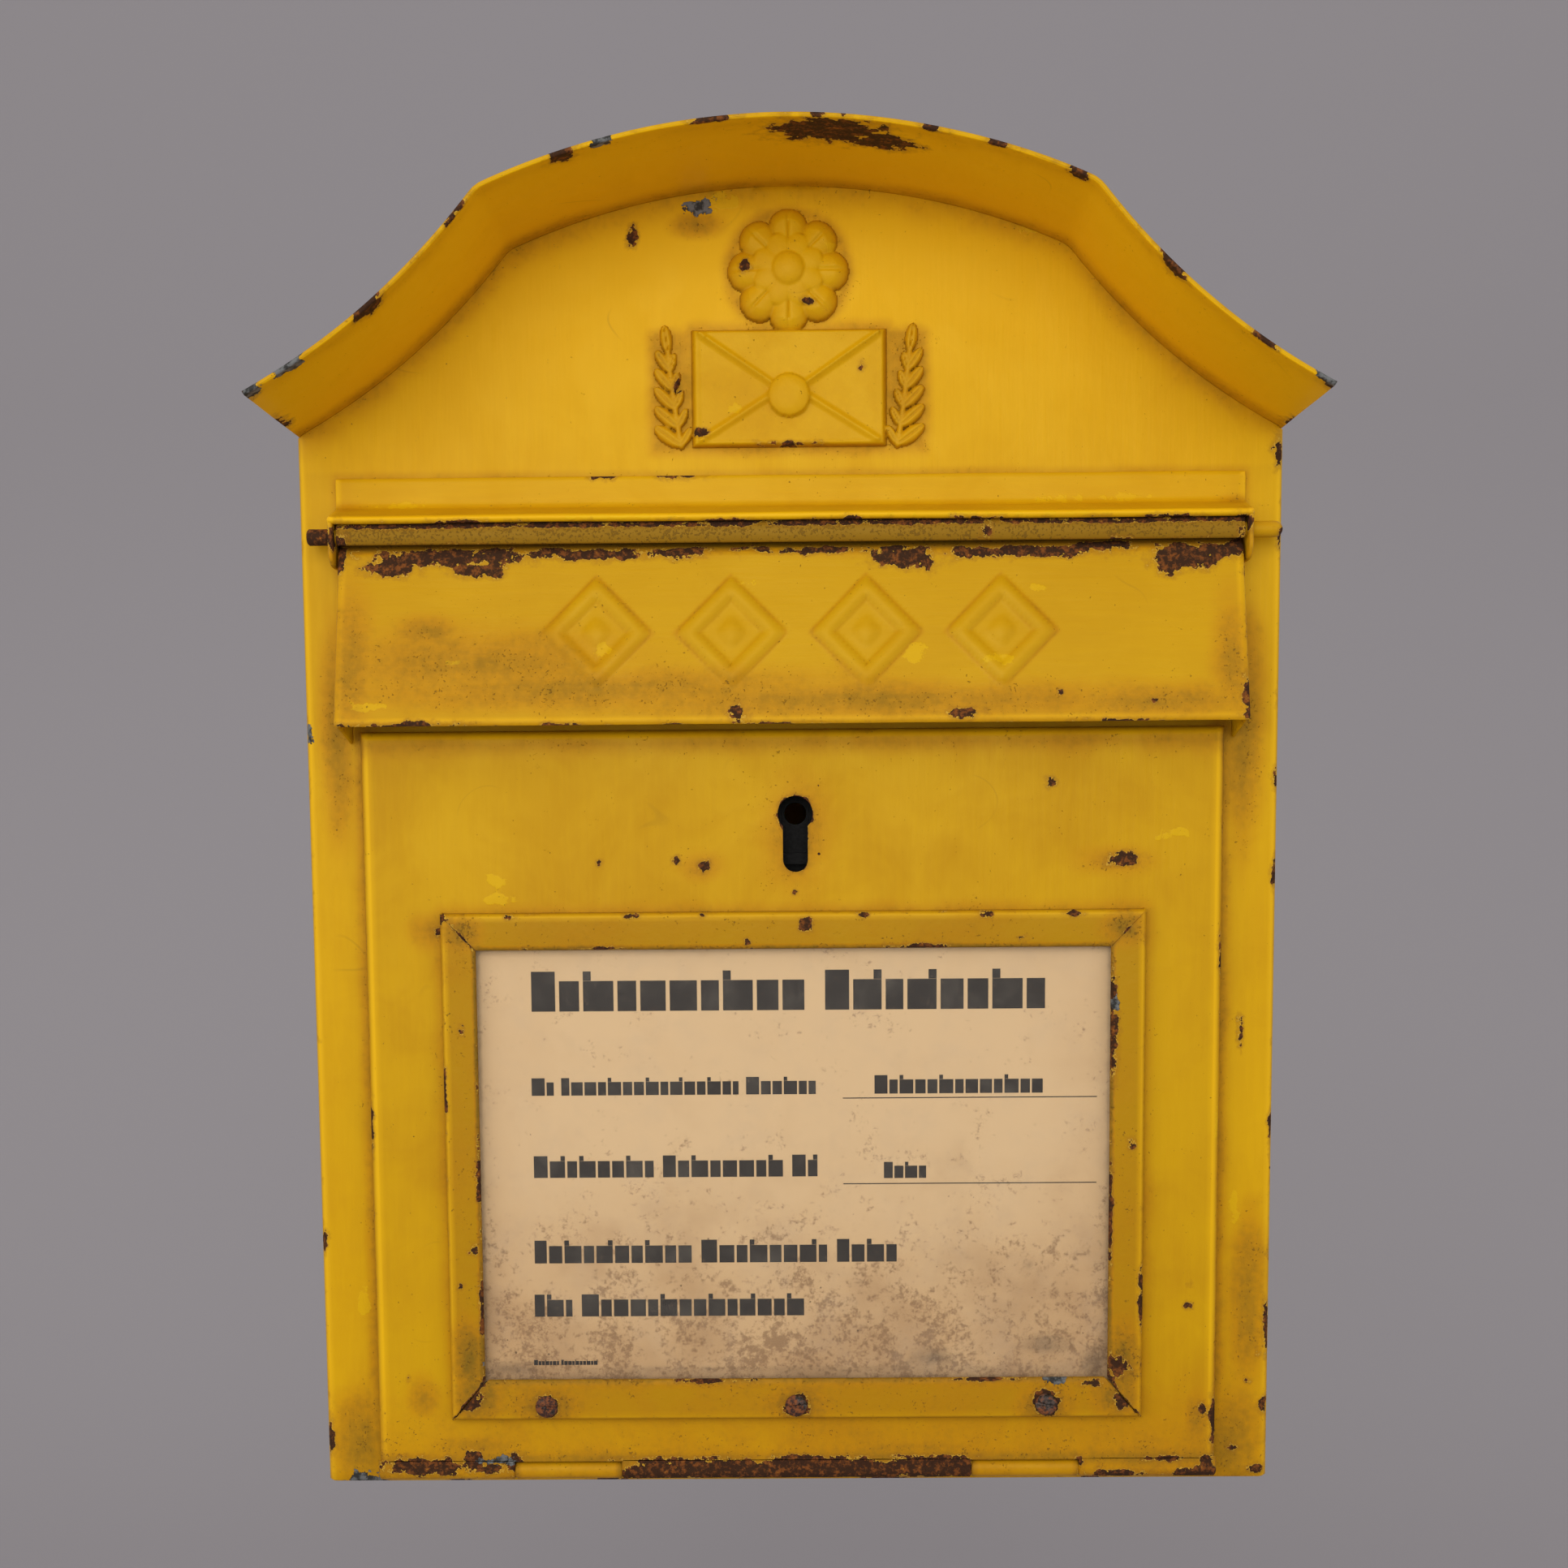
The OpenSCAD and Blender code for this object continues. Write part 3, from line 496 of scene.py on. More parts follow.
FRAME_RUST = [(3.8, 181.5, 2, 2.1), (-27.7, 184.8, 1.5, 0.9), (99.8, 146, 1.4, 10),
    (99.6, 160, 1.1, 4), (102, 40, 3.2, 2.6), (-101.6, 79, 1.7, 1.9), (-99.2, 100, 0.8, 12),
    (-99.4, 60, 0.9, 9), (99.4, 90, 0.8, 16), (-108, 183, 2.2, 1.0), (109.5, 60, 0.9, 8),
    (-109.6, 130, 0.8, 6), (40, 174.6, 9, 0.7), (-60, 174.6, 7, 0.6), (-50, 184.6, 2.6, 0.8),
    (22, 184.7, 1.3, 0.8), (60, 184.4, 1.6, 1.1), (88, 184.6, 3, 0.8), (-88, 184.6, 1.4, 0.8),
    (-14, 176.5, 1.0, 0.8), (71, 177, 1.1, 0.7), (-104, 150, 0.9, 1.2), (106, 112, 0.8, 1.4),
    (-106, 68, 0.8, 1.0)]
FRAME_DIRT = [(-79.5, 28.5, 9, 6.5), (0, 28.5, 9, 6.5), (79.5, 28.5, 9, 6.5), (-101, 31, 7, 7),
    (101, 31, 7, 7), (104, 42, 5, 12), (-104, 44, 5, 12), (-103, 180, 6, 5), (103, 180, 6, 5)]
FRAME_BARE = [(-96.5, 42, 2.4, 2.2), (82.5, 36.8, 3, 1.4), (100.5, 156, 1.2, 2.4)]
STRIP_RUST = [(-79.5, 28.5, 3.7, 3.6), (0.4, 28.3, 4.0, 3.6), (79.5, 28.5, 3.8, 4.0),
    (-103, 31, 3, 3.6), (104, 30, 2.6, 3.4), (60, 36.6, 9, 0.8), (-30, 36.6, 8, 0.7),
    (95, 35.5, 3, 1.2)]
ROD_RUST = [(143, 303, 1.0, 1.2), (150.5, 301, 1, 1.3)]
CARD_DIRT = [(73.8, 72.3, 1.2, 1.3), (69, 77, 1.2, 0.8), (44, 43, 6, 2.5), (80, 47, 7, 2.6),
    (-3, 113, 0.7, 0.9), (6, 116, 0.8, 0.6), (95, 40, 4, 6), (-90, 40, 8, 2), (0, 38, 90, 1.6)]
CASTING_RUST = [(-13, 383, 1.2, 1.4), (6, 372, 1.6, 0.9), (22, 352, 1.0, 1.4), (-28, 333, 2.0, 1.0),
    (-34, 347, 1.2, 2.0), (0, 329.5, 6, 0.8)]
CASTING_FRESH = [(14, 388, 3, 1.4), (-16, 340, 2.4, 1.2)]


# ---------------------------------------------------------------- node trees

class Nodes:
    """Short calls that add nodes to a tree and link them. Where a value is asked for, an output,
    a plain value or (output, weight) will do."""

    def __init__(self, tree):
        self.tree = tree

    def add(self, kind, inputs=None, **settings):
        node = self.tree.nodes.new(kind)
        for key, value in settings.items():
            setattr(node, key, value)
        for key, value in (inputs or {}).items():
            self.feed(node.inputs[key], value)
        return node

    def feed(self, socket, value):
        """Links an output to a socket, or sets a plain value on it."""
        if isinstance(value, tuple) and isinstance(value[0], (tuple, bpy.types.NodeSocket)):
            value = self.math("MULTIPLY", *value)
        if isinstance(value, bpy.types.NodeSocket):
            self.tree.links.new(value, socket)
        elif hasattr(value, "__len__"):
            value = tuple(value)
            socket.default_value = (value if len(value) == len(socket.default_value)
                else (*value, 1.0))
        else:
            socket.default_value = value

    def math(self, operation, a, b=0.0, clamp=False):
        return self.add("ShaderNodeMath", {0: a, 1: b}, operation=operation,
            use_clamp=clamp).outputs[0]

    def sum(self, *values):
        return functools.reduce(lambda a, b: self.math("ADD", a, b), values)

    def ramp(self, value, low, high, to_low=0.0, to_high=1.0):
        """A smooth step from to_low to to_high as value goes from low to high."""
        return self.add("ShaderNodeMapRange", dict(enumerate((value, low, high, to_low, to_high))),
            interpolation_type="SMOOTHSTEP").outputs[0]

    def mix(self, factor, a, b):
        return self.add("ShaderNodeMix", {0: factor, 6: a, 7: b}, data_type="RGBA").outputs[2]

    def attribute(self, name):
        return self.add("ShaderNodeAttribute", attribute_name=name).outputs["Fac"]

    def place(self, stretch=(1, 1, 1)):
        """Object coordinates in millimetres, stretched along each axis."""
        coordinates = self.add("ShaderNodeTexCoord").outputs["Object"]
        return self.add("ShaderNodeVectorMath",
            {0: coordinates, 1: tuple(s / MM for s in stretch)}, operation="MULTIPLY").outputs[0]

    def noise(self, vector, size, detail=2.0, rough=0.5, warp=0.0):
        """Noise whose features are about size millimetres wide."""
        return self.add("ShaderNodeTexNoise", {"Vector": vector, "Scale": 1 / size,
            "Detail": detail, "Roughness": rough, "Distortion": warp}).outputs["Fac"]

    def cells(self, vector, size):
        """Cells about size millimetres wide: the distance to a cell's middle and its own number."""
        node = self.add("ShaderNodeTexVoronoi", {"Vector": vector, "Scale": 1 / size})
        return node.outputs["Distance"], node.outputs["Color"]


class Finish(Nodes):
    """The node tree of a new material."""

    def __init__(self, name):
        self.material = bpy.data.materials.new(name)
        self.material.use_nodes = True
        super().__init__(self.material.node_tree)
        self.tree.nodes.clear()
        self.out = self.add("ShaderNodeOutputMaterial")

    def shader(self, colour, rough, height=None, **sockets):
        """A Principled shader with its bump given as a height in millimetres."""
        inputs = {"Base Color": colour, "Roughness": rough}
        inputs.update({name.replace("_", " "): value for name, value in sockets.items()})
        if height is not None:
            inputs["Normal"] = self.add("ShaderNodeBump",
                {"Strength": 1.0, "Distance": MM, "Height": height}).outputs[0]
        principled = self.add("ShaderNodeBsdfPrincipled", inputs)
        self.feed(self.out.inputs["Surface"], principled.outputs[0])
        return self.material


class Shaping(Nodes):
    """A new Geometry Nodes tree with named inputs, each given as (name, kind of socket)."""

    def __init__(self, name, sockets):
        super().__init__(bpy.data.node_groups.new(name, "GeometryNodeTree"))
        for label, kind in (("Geometry", "Geometry"), *sockets, ("Finish", "Material")):
            self.tree.interface.new_socket(label, in_out="INPUT", socket_type="NodeSocket" + kind)
        self.tree.interface.new_socket("Geometry", in_out="OUTPUT",
            socket_type="NodeSocketGeometry")
        self.given = self.add("NodeGroupInput").outputs

    def end(self, geometry):
        """Ends the tree in Realize Instances and Set Material."""
        realize = self.add("GeometryNodeRealizeInstances", {0: geometry})
        paint = self.add("GeometryNodeSetMaterial",
            {"Geometry": realize.outputs[0], "Material": self.given["Finish"]})
        self.add("NodeGroupOutput", {0: paint.outputs[0]})

    def run(self, obj, **values):
        """Runs the tree on an object with its inputs set, and keeps the result as its mesh."""
        modifier = obj.modifiers.new(self.tree.name, "NODES")
        modifier.node_group = self.tree
        for item in self.tree.interface.items_tree:
            if item.in_out == "INPUT" and item.name in values:
                modifier[item.identifier] = values[item.name]
        bake_modifiers(obj)


# ---------------------------------------------------------------- finishes

BRUSHED = (0.74, 0.43, 0.003)          # the brighter ridges of the brush marks
TOUCHED_UP = (0.68, 0.42, 0.003)
CRUST = (0.125, 0.062, 0.009)
SCRATCHED = (0.25, 0.125, 0.008)
RUST_STAIN = (0.29, 0.115, 0.008)      # round a chip
CHIP_LIP = (0.66, 0.40, 0.05)
RUST_SPARK = (0.42, 0.20, 0.016)
STEEL_DARK, STEEL_PALE = (0.050, 0.050, 0.050), (0.20, 0.205, 0.205)
DOT_PITCH, FOX_PITCH = 8.5, 5.2        # distance between specks on enamel and on card


def enamel_material(name, streak=(1, 1, 0.10), deep=0.35, specks=1.0, film_to=0.66, worn=0.0):
    """Old brushed enamel over steel. The point attributes rust, bare and fresh say where it is
    chipped through, bare or touched up; a dirt field says where it is dirty or darkened by painted
    shade, and pale where painted light and painted highlights lighten it; fine specks and streaks
    are everywhere."""
    n, c = Finish(name), colours()
    mm = n.place()
    broad = n.noise(mm, 95, 2, 0.55)
    blotch = n.noise(mm, 22, 3, 0.6, 0.5)
    ragged = n.noise(mm, 5.5, 4, 0.66)
    fine = n.noise(mm, 2.4, 3, 0.62)
    grit = n.noise(mm, 0.85, 2, 0.6)
    brush = n.noise(n.place(streak), 1.9, 2, 0.6)
    dirt = n.attribute("dirt")

    tone = n.ramp(n.sum((broad, 0.6), (blotch, 0.4)), 0.36, 0.66)
    paint = n.mix((tone, deep + 0.2), c.enamel, c.enamel_deep)
    paint = n.mix(n.ramp(brush, 0.38, 0.72, 0.0, 0.10), paint, BRUSHED)
    paint = n.mix(worn, paint, c.enamel_worn)
    # Painted light and painted highlights: the pale attribute lightens the enamel towards the lit
    # colour
    paint = n.mix(n.math("MULTIPLY", n.attribute("pale"), 0.85, True), paint, c.enamel_painted_light)
    # Painted shade: the enamel turns orange where the dirt field is high, for the shade in corners
    # and folds
    painted_shade_amount = n.ramp(n.sum(dirt, (blotch, 0.36), -0.18), 0.10, 0.62, 0.0, 0.62)
    paint = n.mix(painted_shade_amount, paint, c.painted_shade)

    fresh = n.ramp(n.sum(n.attribute("fresh"), (ragged, 1.5), -0.75), 0.50, 0.58)
    paint = n.mix((fresh, 0.42), paint, TOUCHED_UP)
    # The grime film follows the dirt field, so it also darkens the places of painted shade
    film_and_shade = n.sum((dirt, 0.80), (blotch, 0.45), (fine, 0.55), (brush, 0.20))
    film_and_shade = n.ramp(film_and_shade, 0.84, 1.50, 0.0, film_to)
    paint = n.mix(film_and_shade, paint, c.grime)
    crust = n.ramp(n.sum((grit, 0.85), (ragged, 0.45), (dirt, 0.13 * specks)), 0.86, 0.93)
    paint = n.mix((crust, 0.66), paint, CRUST)

    distance, number = n.cells(mm, DOT_PITCH)
    dot_size = n.ramp(n.noise(mm, 30, 1), 0.42, 0.70, 0.0, 0.85 * specks)
    dot_size = n.math("MULTIPLY", dot_size, n.math("POWER", number, 3.0))
    speck = n.math("LESS_THAN", n.sum((distance, DOT_PITCH), (grit, 0.5), -0.16), dot_size)

    line = n.math("ABSOLUTE", n.math("SUBTRACT", n.noise(mm, 52, 1), 0.5))
    scratch = (n.ramp(line, 0.0010, 0.0034, 1.0, 0.0), n.ramp(n.noise(mm, 26, 1), 0.60, 0.70))
    paint = n.mix((scratch, 0.22), paint, SCRATCHED)

    torn = n.sum((ragged, 1.05), (fine, 0.42), -0.735)
    rust_field = n.sum(n.attribute("rust"), torn)
    rust = n.math("MAXIMUM", n.ramp(rust_field, 0.50, 0.52), speck)
    bare = n.ramp(n.sum(n.attribute("bare"), torn), 0.50, 0.52)
    paint = n.mix((n.ramp(rust_field, 0.22, 0.50), 0.46), paint, RUST_STAIN)
    lip = n.math("MULTIPLY", n.ramp(rust_field, 0.45, 0.49),
        n.ramp(rust_field, 0.50, 0.515, 1.0, 0.0))
    paint = n.mix((lip, 0.5), paint, CHIP_LIP)

    scale = n.sum((fine, 0.75), (grit, 0.35))
    rust_colour = n.mix(n.ramp(scale, 0.52, 0.70, 0.0, 0.85), c.rust_dark, c.rust_bright)
    rust_colour = n.mix(n.ramp(scale, 0.70, 0.76, 0.0, 0.8), rust_colour, RUST_SPARK)
    steel = n.mix(n.ramp(fine, 0.42, 0.60), STEEL_DARK, STEEL_PALE)
    colour = n.mix(bare, n.mix(rust, paint, rust_colour), steel)

    gone = n.math("MAXIMUM", rust, bare)
    height = n.sum((brush, 0.075), (blotch, 0.22), (gone, -0.24), (lip, 0.10), (crust, 0.10),
        ((rust, scale), 0.50), (fresh, 0.04))
    rough = n.sum(n.ramp(blotch, 0.3, 0.7, 0.38, 0.48), (film_and_shade, 0.20), (gone, 0.40), (crust, 0.15))
    return n.shader(colour, n.math("MINIMUM", rough, 0.95), height, Metallic=(bare, 0.5),
        Specular_IOR_Level=0.30, Specular_Tint=(1.0, 0.82, 0.30))


def steel_material(name, rusty=0.5, dark=(0.050, 0.040, 0.034), pale=(0.16, 0.14, 0.125)):
    """Dull bare steel with rust bloom."""
    n, c = Finish(name), colours()
    mm = n.place()
    blotch = n.noise(mm, 7, 4, 0.65)
    fine = n.noise(mm, 1.3, 4, 0.65)
    start = 0.72 - 0.36 * rusty
    rust = n.ramp(n.sum((blotch, 0.7), (fine, 0.3)), start, start + 0.10)
    steel = n.mix(n.ramp(fine, 0.35, 0.65), dark, pale)
    colour = n.mix(rust, steel, n.mix(n.ramp(fine, 0.4, 0.62), c.rust_dark, c.rust_bright))
    return n.shader(colour, n.ramp(rust, 0, 1, 0.46, 0.88),
        n.sum((fine, 0.06), ((rust, fine), 0.22)), Metallic=n.ramp(rust, 0, 1, 0.85, 0.08))


def card_material(name):
    """Aged card: darker at the foot, with foxing and grey smudges, and with painted shade towards
    its sides and painted shadow along the frame's edges.
    """
    n, c = Finish(name), colours()
    mm = n.place()
    split = n.add("ShaderNodeSeparateXYZ", {0: mm}).outputs
    blotch = n.noise(mm, 26, 4, 0.6, 0.5)
    fine = n.noise(mm, 4.0, 5, 0.65)
    foot = n.ramp(split["Z"], CARD_LOW[2] + 4, CARD_LOW[2] + 92, 1.0, 0.0)
    # Painted shade: the card darkens towards its sides, under the frame
    side = n.ramp(n.math("ABSOLUTE", split["X"]), 62, 101, 0.0, 0.5)
    age_and_shade = n.sum((foot, 0.62), (side, 0.35), (blotch, 0.55), -0.28)
    colour = n.mix(n.math("MULTIPLY", age_and_shade, 0.9, True), c.card, (0.44, 0.25, 0.10))
    stain = n.ramp(n.sum((foot, 0.26), n.noise(mm, 24, 3, 0.55)), 0.56, 0.98)
    colour = n.mix((stain, 0.42), colour, (0.25, 0.125, 0.05))
    foxing = n.sum((n.noise(mm, 1.7, 4, 0.7), 0.9), (n.noise(mm, 13, 3, 0.6), 0.6), (foot, 0.17))
    colour = n.mix(n.ramp(foxing, 0.86, 1.06, 0.0, 0.6), colour, (0.15, 0.07, 0.030))
    distance, number = n.cells(mm, FOX_PITCH)
    amount = n.ramp(n.sum((foot, 0.22), n.noise(mm, 22, 3, 0.6)), 0.50, 0.84, 0.03, 0.62)
    size = n.math("ADD", n.math("MULTIPLY", amount, n.math("POWER", number, 2.2)), 0.05)
    speck = n.math("LESS_THAN", (distance, FOX_PITCH), size)
    colour = n.mix((speck, 0.72), colour, (0.085, 0.045, 0.022))
    # The smudges follow the dirt field, which also carries the painted shadow along the frame's
    # edges
    smudge_and_shadow = n.ramp(n.sum(n.attribute("dirt"), (fine, 0.4)), 0.45, 1.05, 0.0, 0.6)
    colour = n.mix(smudge_and_shadow, colour, (0.075, 0.045, 0.026))
    height = n.sum((n.noise(mm, 0.7, 3), 0.016), (blotch, 0.06))
    return n.shader(colour, 0.78, height, Specular_IOR_Level=0.25)


def ink_material(name):
    """Printing ink, worn thin in places."""
    n = Finish(name)
    thin = n.ramp(n.noise(n.place(), 1.6, 4, 0.7), 0.56, 0.78, 0.0, 0.5)
    return n.shader(n.mix(thin, colours().ink, (0.14, 0.09, 0.06)), 0.62, (thin, 0.01),
        Specular_IOR_Level=0.3)


def pane_material(name):
    """Thin clear sheet with a trace of dust."""
    n = Finish(name)
    dust = n.noise(n.place(), 18, 5, 0.7)
    return n.shader((0.62, 0.55, 0.44), n.ramp(dust, 0.3, 0.8, 0.08, 0.2),
        Alpha=n.ramp(dust, 0.42, 0.85, 0.015, 0.075))


def backdrop_material(name):
    n = Finish(name)
    tint = n.ramp(n.noise(n.place(), 900, 1), 0.35, 0.65, 0.0, 0.06)
    return n.shader(n.mix(tint, colours().backdrop, (0.30, 0.283, 0.30)), 0.95,
        Specular_IOR_Level=0.1)


EVEN, ACROSS, ALONG = (1, 1, 1), (0.10, 1, 1), (1, 0.10, 1)     # ways the brush has gone
MAKERS = {
    "enamel": (enamel_material, "brushed_enamel", {}),
    "enamel_roof": (enamel_material, "roof_enamel", dict(streak=ALONG, deep=0.5)),
    "enamel_flap": (enamel_material, "flap_enamel",
        dict(streak=ACROSS, deep=0.2, film_to=0.68, worn=0.27)),
    "enamel_hood": (enamel_material, "hood_enamel", dict(streak=ACROSS, deep=0.2)),
    "enamel_door": (enamel_material, "door_enamel", dict(deep=0.75, worn=0.22)),
    "enamel_frame": (enamel_material, "frame_enamel",
        dict(streak=EVEN, deep=0.8, specks=1.3, film_to=0.90, worn=0.66)),
    "enamel_cast": (enamel_material, "cast_enamel", dict(streak=EVEN, deep=0.25, specks=0.7)),
    "steel": (steel_material, "bare_steel", {}),
    "rusty_steel": (steel_material, "rusty_steel", dict(rusty=0.85)),
    # Painted shade: the lock's steel is made nearly black so that the keyhole looks dark inside
    "lock_steel": (steel_material, "lock_steel",
        dict(rusty=0.2, dark=(0.004, 0.0035, 0.003), pale=(0.008, 0.0075, 0.007))),
    "card": (card_material, "aged_card", {}),
    "ink": (ink_material, "worn_ink", {}),
    "pane": (pane_material, "clear_sheet", {}),
    "backdrop": (backdrop_material, "plain_backdrop", {}),
}


@functools.cache
def finish(name):
    """The named finish, made once."""
    maker, material, settings = MAKERS[name]
    return maker(material, **settings)


# ---------------------------------------------------------------- shapes

def roof_line():
    """The line of the roof's underside in (x, z), from the left eave to the right one."""
    s = shape()
    half_run = HALF_W - s.roof_sheet * math.sin(s.eave_slope)
    arch_r = s.arch_half / math.sin(s.arch_slope)
    bend_x = s.arch_half + s.bend_r * (math.sin(s.bend_slope) - math.sin(s.arch_slope))
    flare_r = (half_run - bend_x) / (math.sin(s.bend_slope) - math.sin(s.eave_slope))

    def out(a):
        return np.array([math.sin(a), math.cos(a)])

    arch_c = np.array([0, ROOF_HIGH[2] - s.roof_sheet - arch_r])
    bend_c = arch_c + (arch_r - s.bend_r) * out(s.arch_slope)
    flare_c = bend_c + (s.bend_r + flare_r) * out(s.bend_slope)
    right = [arch_c + arch_r * out(0)]
    for centre, r, start, end, steps in (
            (arch_c, arch_r, 0, s.arch_slope, 40),
            (bend_c, s.bend_r, s.arch_slope, s.bend_slope, 8),
            (flare_c, -flare_r, s.bend_slope, s.eave_slope, 30)):
        right += [centre + r * out(a) for a in np.linspace(start, end, steps)[1:]]
    right = np.array(right)
    return np.concatenate([right[:0:-1] * [-1, 1], right])


def under_roof(x):
    """Height of the roof's underside above each x."""
    line = roof_line()
    return np.interp(x, line[:, 0], line[:, 1])


class LETTERBOX_OT_shell(bpy.types.Operator):
    """Builds the front panel and side walls from one folded sheet"""

    bl_idname = "letterbox.shell"
    bl_label = "Body shell"

    def execute(self, context):
        edge = HALF_W - FOLD_R
        side = [[-HALF_W, y] for y in np.linspace(WALL - 0.5, FRONT + FOLD_R, 26)]
        corner = arc((-edge, -(FRONT + FOLD_R)), FOLD_R, 180, 90, 6) * [1, -1]
        front = np.concatenate([np.arange(-edge, -134, 1.5), np.linspace(-133, 133, 178),
            np.arange(edge, 134, -1.5)[::-1]])
        left = np.concatenate([side, corner[1:]])
        plan = np.concatenate([left, [[x, FRONT] for x in front[1:-1]], left[::-1] * [-1, 1]])

        rows = np.concatenate([np.arange(0.55, 318, 3.1), np.linspace(318.5, 332, 10)])
        top = under_roof(plan[:, :1]) - 0.2
        gable = rows[-1] + (top - rows[-1]) * np.linspace(0, 1, 52)[1:]
        z = np.concatenate([np.tile(rows, (len(plan), 1)), gable], axis=1)
        x, p = plan[:, :1] + 0 * z, FRONT - plan[:, 1:] + 0 * z
        # the panel has buckled, but not where other sheets lie on it
        buckle = 0.28 * wave(x, z, 48, 0.7) * np.clip((z - HOOD_TOP - 1.5) / 20, 0, 1)
        facing = (np.abs(x) < edge) & (p > -0.01)
        obj = mesh_object("front_shell", *bent_sheet(x, p - buckle * facing, z, SHEET))
        slot, doorway = (125.0, 262.0, 296.0), (122.5, 18.0, 231.0)
        cut(obj, [box_part((-half, FRONT - 5, low), (half, FRONT + 5, high))
            for half, low, high in (slot, doorway)])
        finish_piece(obj, "box", ["body_shell"], "enamel", self.wear)
        return {"FINISHED"}

    @staticmethod
    def wear(x, p, z):
        side, facing = np.abs(x), np.clip((p + 4) / 3, 0, 1)
        corner = near(side - HALF_W, 2.5) * facing
        rust = most(spots(x, z, GABLE_RUST) * facing,
            corner * (0.30 + 0.22 * wave(z, x, 9, 2.0)),
            near(z, 2.2) * (0.30 + 0.24 * wave(x, p, 14, 1.0)),
            0.62 * near(p + (WALL - FRONT), 3) * (0.6 + 0.5 * wave(z, x, 11, 0.4)))
        low, high = ORNAMENT_LOW[2], ORNAMENT_HIGH[2]
        casting = np.minimum(outside(x, z, 30, low, low + 36),
            outside(side - 36.5, z, 5, low, low + 34))
        casting = np.minimum(casting, np.abs(np.hypot(x, z - high + 19) - 18))
        # Painted shade: the dirt field darkens the panel under the roof's eave, beside the door's
        # sides, round the hood and round the casting; it also grows darker towards the bottom and
        # at the folded corners
        dirt = most(spots(x, z, GABLE_DIRT) * facing,
            0.30 * np.clip(1 - z / 70, 0, 1) + 0.16 * corner,
            0.52 * near(under_roof(np.clip(x, -150, 150)) - z, 13) * facing,
            0.85 * near(side - DOOR_X + 0.5, 7) * (z < DOOR_TOP + 1) * facing,
            0.45 * near(outside(x, z, HOOD_X, HOOD_LOW[2] - 2, HOOD_TOP), 4) * facing,
            0.55 * near(casting, 5) * facing)
        # Painted light: the gable grows paler from the hood upward; painted highlights run along
        # the folded corners
        over_hood = z - HOOD_TOP - 1.5
        pale = np.where(over_hood > 0, 0.15 + 0.6 * np.clip(over_hood / 68, 0, 1), 0)
        pale = np.maximum(pale, 0.9 * near(side - HALF_W + 1.3, 1.3)) * facing
        return {"rust": rust, "bare": spots(x, z, GABLE_BARE) * facing,
            "fresh": spots(x, z, GABLE_FRESH) * facing, "dirt": dirt, "pale": pale}


